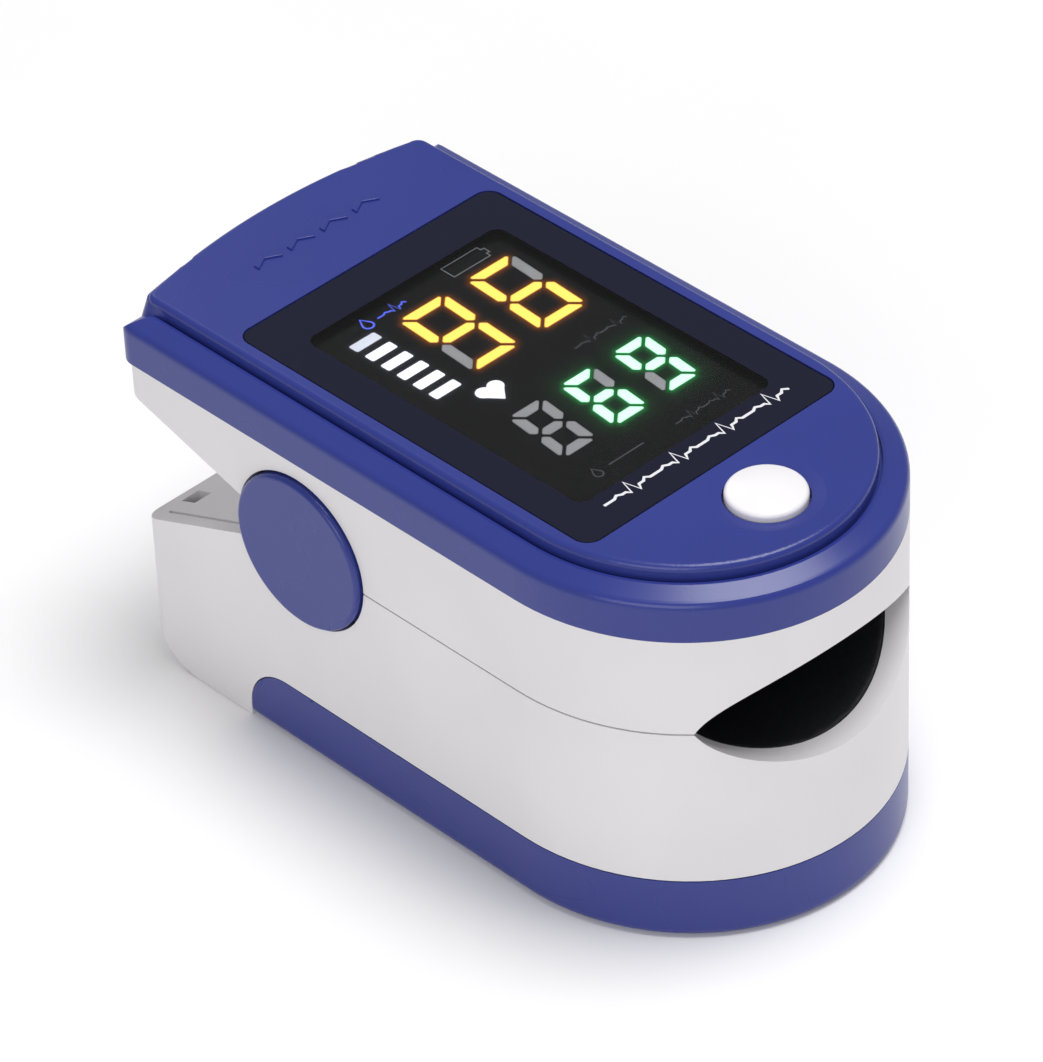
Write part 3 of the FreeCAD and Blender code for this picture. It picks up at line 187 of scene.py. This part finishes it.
def clear_lens():
    """Clear polycarbonate window over an optical part."""
    made, tree, shader = material("clear_polycarbonate", {
        "Roughness": 0.08, "IOR": 1.58, "Transmission Weight": 0.9, "Base Color": linear("#D5DADF")})
    grain(tree, shader, 0.8, 0.002, 0.2)
    return made


def smoked_acrylic():
    """Lightly tinted, anti-glare acrylic: it mirrors the room only faintly, hence the low refractive index."""
    made, tree, shader = material("smoked_acrylic", {
        "Roughness": 0.07, "IOR": 1.28, "Transmission Weight": 1.0, "Base Color": linear("#D9DADD")})
    grain(tree, shader, 6.0, 0.01, 0.05)
    return made


def lit(name, core_hex, edge_hex, strength):
    """A lit diffuser: brightest along its middle, deeper in colour at its edge. Used too for the unlit bars,
    whose glow is painted light standing in for the room light on them.
    """
    made, tree, shader = material(name, {"Roughness": 0.5, "Emission Strength": strength})
    core = add(tree, "ShaderNodeAttribute", attribute_name="core")
    tint = ramp(tree, core.outputs["Fac"], [(0.0, linear(edge_hex)), (0.8, linear(core_hex))])
    tree.links.new(tint.outputs["Color"], shader.inputs["Emission Color"])
    tree.links.new(tint.outputs["Color"], shader.inputs["Base Color"])
    return made


def film_with_painted_halos():
    """The display's black front film, with a faint halo of each lit bar's colour painted round the bar as
    emitted light: painted light, standing in for the glow that spreads from the bars.
    """
    made, tree, shader = material("display_front_film_painted_halo", {
        "Roughness": 0.6, "Emission Strength": 1.0, "Specular IOR Level": 0.1})
    painted_halo = add(tree, "ShaderNodeAttribute", attribute_name="painted_halo")
    tree.links.new(painted_halo.outputs["Color"], shader.inputs["Emission Color"])
    _, noise = grain(tree, shader, 0.2, 0.002, 0.3)
    tint = ramp(tree, noise.outputs["Fac"], [(0.3, linear("#08090A")), (0.7, linear("#0D0E0F"))])
    tree.links.new(tint.outputs["Color"], shader.inputs["Base Color"])
    return made


INK_THIN = 0.92             # how bright the ink is where the mesh left it thin


def printed_ink(name, hex_colour, rough, glow=0.0):
    """Screen-printed ink: flat and even, with the faint mottle of the mesh it is squeezed through. glow makes
    the ink give light: the display's own light for the lit blue symbol, painted light for the grey symbols.
    """
    base = linear(hex_colour)
    made, tree, shader = material(name, {
        "Roughness": rough, "IOR": 1.40, "Emission Strength": glow, "Emission Color": base})
    _, noise = grain(tree, shader, 0.12, 0.001, 0.2)
    low = tuple(INK_THIN * c for c in base[:3]) + (1,)
    tint = ramp(tree, noise.outputs["Fac"], [(0.3, low), (0.6, base)])
    tree.links.new(tint.outputs["Color"], shader.inputs["Base Color"])
    return made


BAND_START, SLEEVE_START, SLEEVE_END = 0.06, 0.28, 0.94     # shares of a cell's length from its plus end


def cell_can(name, node_name, front_first):
    """A dry cell: bare nickel at its ends, a dark sleeve, and a copper-coloured band next to its plus end.
    front_first says that the plus end is the one towards the nose."""
    made, tree, shader = material(name, {"Roughness": 0.25})
    place, _ = grain(tree, shader, 0.6, 0.001, 0.2)
    along = add(tree, "ShaderNodeSeparateXYZ", {"Vector": place})
    share = add(tree, "ShaderNodeMapRange", {"Value": along.outputs["Y"]})
    y0, y1 = (corner.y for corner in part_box(node_name))
    if not front_first:
        y0, y1 = y1, y0
    for key, value in (("From Min", y0), ("From Max", y1), ("To Min", 0.0), ("To Max", 1.0)):
        share.inputs[key].default_value = value
    can, band, dark = linear("#C4C2BC"), linear("#B5652B"), linear("#24262B")
    bare, covered = linear("#FFFFFF"), linear("#000000")
    looks = (("Base Color", [(0.0, can), (BAND_START, band), (SLEEVE_START, dark), (SLEEVE_END, can)]),
             ("Metallic", [(0.0, bare), (BAND_START, covered), (SLEEVE_END, bare)]))
    for socket, stops in looks:
        bands = ramp(tree, share.outputs["Result"], stops)
        bands.color_ramp.interpolation = "CONSTANT"
        tree.links.new(bands.outputs["Color"], shader.inputs[socket])
    return made


yellow_light = lit("lit_diffuser_yellow", "#FFE062", "#DD7F1C", 1.45)
green_light = lit("lit_diffuser_green", "#D2FBE2", "#5FD68E", 1.4)
white_light = lit("lit_diffuser_white", "#FFFFFF", "#B9BDC8", 1.4)
# The unlit bars glow faintly: painted light, standing in for the room light that reaches them through the
# window.
grey_segment_painted_glow = lit("unlit_diffuser_grey_painted_glow", "#9C9C9C", "#77777A", 0.75)
border_ink = printed_ink("window_border_ink_navy", "#10132A", 0.10)
white_ink = printed_ink("window_print_white", "#E8E9EE", 0.35)
# The grey symbols glow faintly: painted light, standing in for the room light that reaches them through the
# window.
grey_ink_painted_glow = printed_ink("display_print_grey_painted_glow", "#8A8C90", 0.5, 0.5)
dim_ink_painted_glow = printed_ink("display_print_dim_grey_painted_glow", "#5A5C60", 0.5, 0.35)
blue_lit_ink = printed_ink("display_symbol_blue", "#5A6CF5", 0.5, 1.1)
board_mask = circuit_board()
lens_clear = clear_lens()
window_acrylic = smoked_acrylic()
left_sleeve = cell_can("dry_cell_sleeve_left", "battery_cell_left", front_first=False)
right_sleeve = cell_can("dry_cell_sleeve_right", "battery_cell_right", front_first=True)

FINISHES = {
    white_abs: ["lower_housing", "upper_housing", "battery_tray"],
    blue_abs: ["top_cover", "battery_cover", "hinge_cap_left", "hinge_cap_right"],
    button_abs: ["power_button"],
    black_silicone: ["lower_finger_pad", "upper_finger_pad"],
    display_black: ["display_module"],
    yellow_light: ["segments_yellow"],
    green_light: ["segments_green"],
    white_light: ["pulse_bars", "heart_icon"],
    grey_segment_painted_glow: ["segments_unlit"],
    board_mask: ["main_board", "detector_board"],
    chip_epoxy: ["photodetector", "microcontroller", "led_driver_chip", "tact_switch", "switch_plunger"],
    chip_ceramic: ["chip_resistors"],
    lens_clear: ["detector_window", "emitter_window", "emitter_led"],
    window_acrylic: ["display_window"],
    steel: ["hinge_axle", "tray_screws", "cover_screws"],
    spring_wire: ["hinge_spring_right_fixed", "hinge_spring_right_moving", "hinge_spring_left_fixed",
                  "hinge_spring_left_moving", "bridge_spring", "negative_spring"],
    nickel: ["bridge_contact", "positive_contact", "negative_contact", "display_pins"],
    left_sleeve: ["battery_cell_left"],
    right_sleeve: ["battery_cell_right"],
    polyimide: ["ribbon_upper", "ribbon_lower"],
}
for finish, names in FINISHES.items():
    for node_name in names:
        mesh = NODES[node_name].data
        mesh.materials.clear()
        mesh.materials.append(finish)


# ---------------------------------------------------------------- making pieces
MERGE = 0.002 * MM
FLAT_DEG = 0.5              # neighbouring faces closer than this in angle are one face
CREASE_DEG = 35.0
TOP_DEPTH = 0.01 * MM


def copied(node_name):
    """A copy of a CAD node's mesh, its loose triangles merged into clean faces."""
    bm = bmesh.new()
    bm.from_mesh(NODES[node_name].data)
    bmesh.ops.remove_doubles(bm, verts=bm.verts, dist=MERGE)
    bmesh.ops.dissolve_limit(bm, angle_limit=math.radians(FLAT_DEG), verts=bm.verts, edges=bm.edges)
    return bm


def as_object(bm, name, finish):
    """Turns a bmesh into a smooth-shaded object whose hard edges stay crisp."""
    mesh = bpy.data.meshes.new(name)
    bm.to_mesh(mesh)
    bm.free()
    mesh.shade_smooth()
    mesh.set_sharp_from_angle(angle=math.radians(CREASE_DEG))
    mesh.materials.append(finish)
    obj = bpy.data.objects.new(name, mesh)
    bpy.context.scene.collection.objects.link(obj)
    return obj


def top_faces(bm):
    """The level faces at a piece's highest level."""
    height = max(v.co.z for v in bm.verts)
    return [f for f in bm.faces if f.normal.z > 0.9 and f.calc_center_median().z > height - TOP_DEPTH]


# ---------------------------------------------------------------- display
MODULE_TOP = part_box("display_module")[1].z
WINDOW_LOW, WINDOW_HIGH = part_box("display_window")
FILM_LIFT = 0.012 * MM          # the front film lies this far over the module
DIFFUSER_LIFT = 0.03 * MM       # and the light windows stand a little prouder
FILM_GRID = 0.2 * MM
DIM_SHARE = 0.15                # how bright the last signal bar is, against the others
BAR_DEPTH = 1.2 * MM
LAST_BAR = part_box("pulse_bars")[1].y - BAR_DEPTH
CORE_STEPS = ((-0.05, 0.0), (0.06, 0.55), (0.07, 1.0))      # inset in mm and brightness there, from the rim in
CORE_DOME = 0.006 * MM      # each step is raised by this much
PAINTED_HALOS = [("segments_yellow", "#8A4A10", 0.7), ("segments_green", "#1B8A3E", 0.6),      # painted halos round the lit bars: node, colour, reach in mm
         ("segments_green", "#0C3A1A", 2.4), ("pulse_bars", "#3C3E48", 0.5),
         ("heart_icon", "#3C3E48", 0.5)]
FILM_INSET = 0.3 * MM
BORDER_EDGE = 0.03 * MM     # the border print stops this far from the window's rim
BORDER_BASE = 0.004 * MM    # it is drawn this far over the window
BORDER_LIFT = 0.008 * MM    # and moved up by this much once it has its thickness
BORDER_THICK = 0.006 * MM
WINDOW_CORNER, SCREEN_CORNER = 1.1 * MM, 0.9 * MM
SCREEN_X, SCREEN_FRONT, SCREEN_REAR = 9.45 * MM, -12.80 * MM, 14.80 * MM
PRINT_LIFT = 0.03 * MM      # symbols on the front film
TRACE_LIFT = 0.02 * MM      # pulse trace on the window
FINE, BOLD, BROAD = 0.12, 0.16, 0.24        # widths of printed strokes, mm


def diffuser(node_name, name, finish, dim_from=math.inf):
    """Light windows of the display, domed a little, with a core that marks where each is brightest.
    Windows further towards the tail than dim_from are lit only faintly."""
    bm = copied(node_name)
    core = bm.verts.layers.float.new("core")
    faces = top_faces(bm)
    rims = {v for f in faces for v in f.verts}
    bmesh.ops.translate(bm, verts=list(rims), vec=(0, 0, DIFFUSER_LIFT))
    for width, value in CORE_STEPS:
        bmesh.ops.inset_individual(bm, faces=faces, thickness=width * MM, depth=CORE_DOME)
        for vert in {v for f in faces for v in f.verts}:
            vert[core] = value if vert.co.y < dim_from else DIM_SHARE * value
    obj = as_object(bm, name, finish)
    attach(obj, "upper_jaw")
    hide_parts(node_name)


def face_tree(node_name):
    """The top faces of the display's light windows, for measuring distances on the film."""
    bm = copied(node_name)
    keep = set(top_faces(bm))
    bmesh.ops.delete(bm, geom=[f for f in bm.faces if f not in keep], context="FACES")
    tree = BVHTree.FromBMesh(bm)
    bm.free()
    return tree


def front_film():
    """The film over the whole display, with the painted halo of every lit bar as a colour attribute."""
    low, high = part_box("display_module")
    size_x, size_y = high.x - low.x - 2 * FILM_INSET, high.y - low.y - 2 * FILM_INSET
    bm = bmesh.new()
    bmesh.ops.create_grid(bm, x_segments=round(size_x / FILM_GRID), y_segments=round(size_y / FILM_GRID),
                          size=0.5)
    bmesh.ops.scale(bm, verts=bm.verts, vec=(size_x, size_y, 1))
    bmesh.ops.translate(bm, verts=bm.verts, vec=(0, (low.y + high.y) / 2, MODULE_TOP + FILM_LIFT))
    painted_halo = bm.verts.layers.float_color.new("painted_halo")
    # Each lit bar's painted halo fades with distance from the bar: painted light on the film.
    painted_glows = [(face_tree(node_name), linear(tint), reach * MM) for node_name, tint, reach in PAINTED_HALOS]
    for vert in bm.verts:
        colour = Vector((0, 0, 0))
        spot = Vector((vert.co.x, vert.co.y, MODULE_TOP))
        for tree, tint, reach in painted_glows:
            share = tree.find_nearest(spot)[3] / reach
            if share < 1:
                colour += Vector(tint[:3]) * (1 - share) ** 2
        vert[painted_halo] = (*colour, 1)
    rim = [e for e in bm.edges if e.is_boundary]
    walls = bmesh.ops.extrude_edge_only(bm, edges=rim)["geom"]
    foot = [g for g in walls if isinstance(g, bmesh.types.BMVert)]
    bmesh.ops.translate(bm, verts=foot, vec=(0, 0, -FILM_LIFT / 2))
    obj = as_object(bm, "display_front_film_painted_halo", film_with_painted_halos())
    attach(obj, "upper_jaw")


CORNER_STEPS = 8


def rounded_loop(bm, x0, x1, y0, y1, z, radius):
    """The closed edge loop of a rounded rectangle."""
    before = set(bm.edges)
    corners = [bm.verts.new((x, y, z)) for x, y in ((x0, y0), (x1, y0), (x1, y1), (x0, y1))]
    bm.faces.new(corners)
    bmesh.ops.bevel(bm, geom=corners, offset=radius, affect="VERTICES", segments=CORNER_STEPS,
                    profile=0.5, material=-1)
    face = [f for f in bm.faces if len(f.verts) > CORNER_STEPS]
    bmesh.ops.delete(bm, geom=face, context="FACES_ONLY")
    return [e for e in bm.edges if e not in before]


def window_border():
    """The printed border of the window: navy ink with a round-cornered opening over the display."""
    bm = bmesh.new()
    z = WINDOW_HIGH.z + BORDER_BASE
    outer = rounded_loop(bm, WINDOW_LOW.x + BORDER_EDGE, WINDOW_HIGH.x - BORDER_EDGE,
                         WINDOW_LOW.y + BORDER_EDGE, WINDOW_HIGH.y - BORDER_EDGE, z, WINDOW_CORNER)
    inner = rounded_loop(bm, -SCREEN_X, SCREEN_X, SCREEN_FRONT, SCREEN_REAR, z, SCREEN_CORNER)
    bmesh.ops.bridge_loops(bm, edges=outer + inner)
    bmesh.ops.recalc_face_normals(bm, faces=bm.faces)
    if sum(f.normal.z for f in bm.faces) < 0:
        bmesh.ops.reverse_faces(bm, faces=bm.faces)
    bmesh.ops.solidify(bm, geom=bm.faces, thickness=BORDER_THICK)
    bmesh.ops.translate(bm, verts=bm.verts, vec=(0, 0, BORDER_LIFT))
    obj = as_object(bm, "window_border_print", border_ink)
    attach(obj, "upper_jaw")


STROKE_FLATNESS = 0.1


def line_print(name, runs, width, z, finish):
    """A printed line drawing: each run is a closed or open list of points in mm, drawn as one flat stroke."""
    drawing = bpy.data.curves.new(name, "CURVE")
    drawing.dimensions = "3D"
    drawing.bevel_depth = width * MM / 2
    drawing.bevel_resolution = 1
    for points, closed in runs:
        spline = drawing.splines.new("POLY")
        spline.points.add(len(points) - 1)
        spline.use_cyclic_u = closed
        for point, (x, y) in zip(spline.points, points):
            point.co = (x * MM, y * MM, 0, 1)
    source = bpy.data.objects.new(name, drawing)
    bm = bmesh.new()
    bm.from_mesh(bpy.data.meshes.new_from_object(source))
    bpy.data.objects.remove(source)
    bmesh.ops.holes_fill(bm, edges=[e for e in bm.edges if e.is_boundary])
    bmesh.ops.scale(bm, verts=bm.verts, vec=(1, 1, STROKE_FLATNESS))
    bmesh.ops.translate(bm, verts=bm.verts, vec=(0, 0, z))
    bmesh.ops.recalc_face_normals(bm, faces=bm.faces)
    obj = as_object(bm, name, finish)
    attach(obj, "upper_jaw")


RESTING = 0.35              # height of a pulse trace between its beats, as a share of the whole
BEAT = ((0.0, RESTING), (0.22, RESTING), (0.30, 0.50), (0.38, RESTING), (0.46, RESTING), (0.52, 0.12),
        (0.60, 1.0), (0.68, 0.0), (0.74, RESTING), (0.84, RESTING), (0.91, 0.55), (0.98, RESTING))


def trace(x0, x1, y0, y1, beats):
    """Points of a pulse trace: a flat line with the same sharp beat repeated."""
    step = (x1 - x0) / beats
    points = [(x0 + step * (i + u), y0 + v * (y1 - y0)) for i in range(beats) for u, v in BEAT]
    return points + [(x1, y0 + RESTING * (y1 - y0))]


def drop_outline(cx, cy, r):
    """A drop: a round belly whose sides run together in a point towards +Y."""
    belly = [(cx + r * math.cos(a), cy + r * math.sin(a)) for a in
             (math.radians(v) for v in range(155, 386, 15))]
    return belly + [(cx, cy + 2.1 * r)]


def battery_outline(cx, cy, half_x, half_y):
    """A lying battery with the nub of its plus end towards +X."""
    nub = 0.3
    return [(cx - half_x, cy - half_y), (cx + half_x, cy - half_y), (cx + half_x, cy - nub),
            (cx + half_x + nub, cy - nub), (cx + half_x + nub, cy + nub), (cx + half_x, cy + nub),
            (cx + half_x, cy + half_y), (cx - half_x, cy + half_y)]


def display_prints():
    """Plain symbols printed on the front film, and a pulse trace on the window's border."""
    film = MODULE_TOP + PRINT_LIFT
    battery = (battery_outline(5.4, 13.9, 1.8, 0.7), True)
    saturation = [(drop_outline(-4.6, 13.5, 0.42), True), (trace(-3.6, -0.8, 13.2, 14.3, 1), False)]
    pulse = (trace(3.4, 8.6, 0.4, 1.5, 2), False)
    scale = [(trace(2.0, 7.4, -10.9, -9.9, 2), False), (drop_outline(-5.6, -10.6, 0.35), True),
             ([(-4.4, -10.4), (-1.0, -10.4)], False)]
    border = (trace(-8.46, 9.7, -14.5, -13.1, 4), False)
    line_print("battery_symbol", [battery], FINE, film, grey_ink_painted_glow)
    line_print("saturation_symbol", saturation, BOLD, film, blue_lit_ink)
    line_print("pulse_symbol", [pulse], FINE, film, dim_ink_painted_glow)
    line_print("scale_symbols", scale, FINE, film, dim_ink_painted_glow)
    line_print("border_pulse_trace", [border], BROAD, WINDOW_HIGH.z + TRACE_LIFT, white_ink)



diffuser("segments_yellow", "yellow_digits", yellow_light)
diffuser("segments_green", "green_digits", green_light)
diffuser("segments_unlit", "unlit_bars", grey_segment_painted_glow)
diffuser("pulse_bars", "pulse_strength_bars", white_light, LAST_BAR)
diffuser("heart_icon", "heart_symbol", white_light)
front_film()
window_border()
display_prints()


# ---------------------------------------------------------------- soft pieces
PAD_VOXEL = 0.22 * MM
PAD_SOFTEN, PAD_PASSES = 0.5, 4


def silicone_pad(node_name, name):
    """A finger pad as moulded rubber, with every edge softly rounded."""
    bm = copied(node_name)
    obj = as_object(bm, name, black_silicone)
    skin = obj.modifiers.new("skin", "REMESH")
    skin.mode = "VOXEL"
    skin.voxel_size = PAD_VOXEL
    skin.use_smooth_shade = True
    soften = obj.modifiers.new("soften", "SMOOTH")
    soften.factor = PAD_SOFTEN
    soften.iterations = PAD_PASSES
    graph = bpy.context.evaluated_depsgraph_get()
    mesh = bpy.data.meshes.new_from_object(obj.evaluated_get(graph))
    obj.modifiers.clear()
    obj.data = mesh
    if not mesh.materials:
        mesh.materials.append(black_silicone)
    mesh.shade_smooth()
    return obj


for pad_node, pad_name, pad_body in (("lower_finger_pad", "lower_silicone_pad", "lower_jaw"),
                                     ("upper_finger_pad", "upper_silicone_pad", "upper_jaw")):
    pad = silicone_pad(pad_node, pad_name)
    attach(pad, pad_body)
    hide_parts(pad_node)


CABLE_THICK = 0.16 * MM
CABLE_BEND = 1.6 * MM       # radius of the turn up towards the main board
CABLE_FLOAT = 0.1 * MM      # how far the cable lies over the lower edge of its space
CABLE_END_GAP = 0.02 * MM
CABLE_STEPS = 14            # steps in the part that runs up past the axle


def flat_cable():
    """One flat cable, from the detector along the tray, then up past the axle to the main board."""
    upper_low, upper_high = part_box("ribbon_upper")
    lower_low, lower_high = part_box("ribbon_lower")
    half = upper_high.x
    y = (upper_low.y + upper_high.y) / 2
    run_z = lower_low.z + CABLE_FLOAT
    bm = bmesh.new()
    path = [(lower_low.y, run_z), (y - CABLE_BEND, run_z)]
    turn = [math.radians(v) for v in range(15, 91, 15)]
    path += [(y - CABLE_BEND + CABLE_BEND * math.sin(a), run_z + CABLE_BEND - CABLE_BEND * math.cos(a))
             for a in turn]
    top = upper_high.z - CABLE_END_GAP
    path += [(y, run_z + CABLE_BEND + (top - run_z - CABLE_BEND) * (i + 1) / CABLE_STEPS)
             for i in range(CABLE_STEPS)]
    line = [bm.verts.new((-half, py, pz)) for py, pz in path]
    edges = [bm.edges.new(pair) for pair in zip(line, line[1:])]
    strip = bmesh.ops.extrude_edge_only(bm, edges=edges)["geom"]
    far = [g for g in strip if isinstance(g, bmesh.types.BMVert)]
    bmesh.ops.translate(bm, verts=far, vec=(2 * half, 0, 0))
    bmesh.ops.solidify(bm, geom=bm.faces, thickness=CABLE_THICK)
    bmesh.ops.recalc_face_normals(bm, faces=bm.faces)
    obj = as_object(bm, "flat_cable", polyimide)
    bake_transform(obj)
    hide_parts("ribbon_upper", "ribbon_lower")


flat_cable()


# ---------------------------------------------------------------- stage, light and camera
def area_light(name, place, target, size, power):
    """A white softbox that faces the target."""
    lamp = bpy.data.lights.new(name, "AREA")
    lamp.shape = "RECTANGLE"
    lamp.size, lamp.size_y = size
    lamp.energy = power
    obj = bpy.data.objects.new(name, lamp)
    bpy.context.scene.collection.objects.link(obj)
    obj.location = place
    obj.rotation_mode = "QUATERNION"
    obj.rotation_quaternion = (Vector(target) - Vector(place)).to_track_quat("-Z", "Y")


FLOOR_HALF = 3.0
FLOOR_DROP = 0.05 * MM      # keeps the floor just clear of the underside, which lies at height 0


def floor():
    """A plain pale paper floor."""
    bm = bmesh.new()
    bmesh.ops.create_grid(bm, x_segments=2, y_segments=2, size=FLOOR_HALF)
    bmesh.ops.translate(bm, verts=bm.verts, vec=(0, 0, -FLOOR_DROP))
    mesh = bpy.data.meshes.new("floor")
    bm.to_mesh(mesh)
    bm.free()
    obj = bpy.data.objects.new("floor", mesh)
    bpy.context.scene.collection.objects.link(obj)
    made, tree, shader = material("floor_paper", {"Roughness": 0.8})
    place = add(tree, "ShaderNodeTexCoord").outputs["Object"]
    noise = add(tree, "ShaderNodeTexNoise", {"Vector": place}, Scale=20.0)
    tint = ramp(tree, noise.outputs["Fac"], [(0.0, linear("#FAF9FA")), (1.0, linear("#FEFDFE"))])
    tree.links.new(tint.outputs["Color"], shader.inputs["Base Color"])
    mesh.materials.append(made)


def world_light(hex_colour, strength):
    """Even light from all round."""
    world = bpy.data.worlds.new("studio")
    bpy.context.scene.world = world
    world.use_nodes = True
    background = world.node_tree.nodes["Background"]
    background.inputs["Color"].default_value = linear(hex_colour)
    background.inputs["Strength"].default_value = strength


def camera():
    """Long lens at the front left, looking down on the display."""
    azimuth, elevation, roll = (math.radians(v) for v in (-42.9, 38.2, -2.5))
    target = Vector((0.0, 0.003438, 0.014967))
    distance = 0.4434
    back = Vector((math.sin(azimuth) * math.cos(elevation), -math.cos(azimuth) * math.cos(elevation),
                   math.sin(elevation)))
    level = Vector((math.cos(azimuth), math.sin(azimuth), 0.0))
    up = back.cross(level)
    right = math.cos(roll) * level + math.sin(roll) * up
    up = back.cross(right)
    cam = bpy.data.cameras.new("camera")
    cam.lens = 208.98
    cam.sensor_width = 36.0
    cam.clip_start = 0.01
    obj = bpy.data.objects.new("camera", cam)
    bpy.context.scene.collection.objects.link(obj)
    place = target + back * distance
    obj.matrix_world = Matrix((
        (right.x, up.x, back.x, place.x), (right.y, up.y, back.y, place.y),
        (right.z, up.z, back.z, place.z), (0, 0, 0, 1)))
    bpy.context.scene.camera = obj


floor()
world_light("#FFFFFF", 0.31)
CENTRE = (0.0, 0.0, 0.015)
area_light("key", (0.12, -0.10, 0.66), CENTRE, (0.35, 0.35), 3.2)
area_light("fill", (-0.45, -0.25, 0.30), CENTRE, (0.40, 0.30), 1.0)
area_light("rear", (0.16, 0.46, 0.36), CENTRE, (0.22, 0.20), 0.22)
camera()
bpy.context.scene.view_settings.view_transform = "Standard"
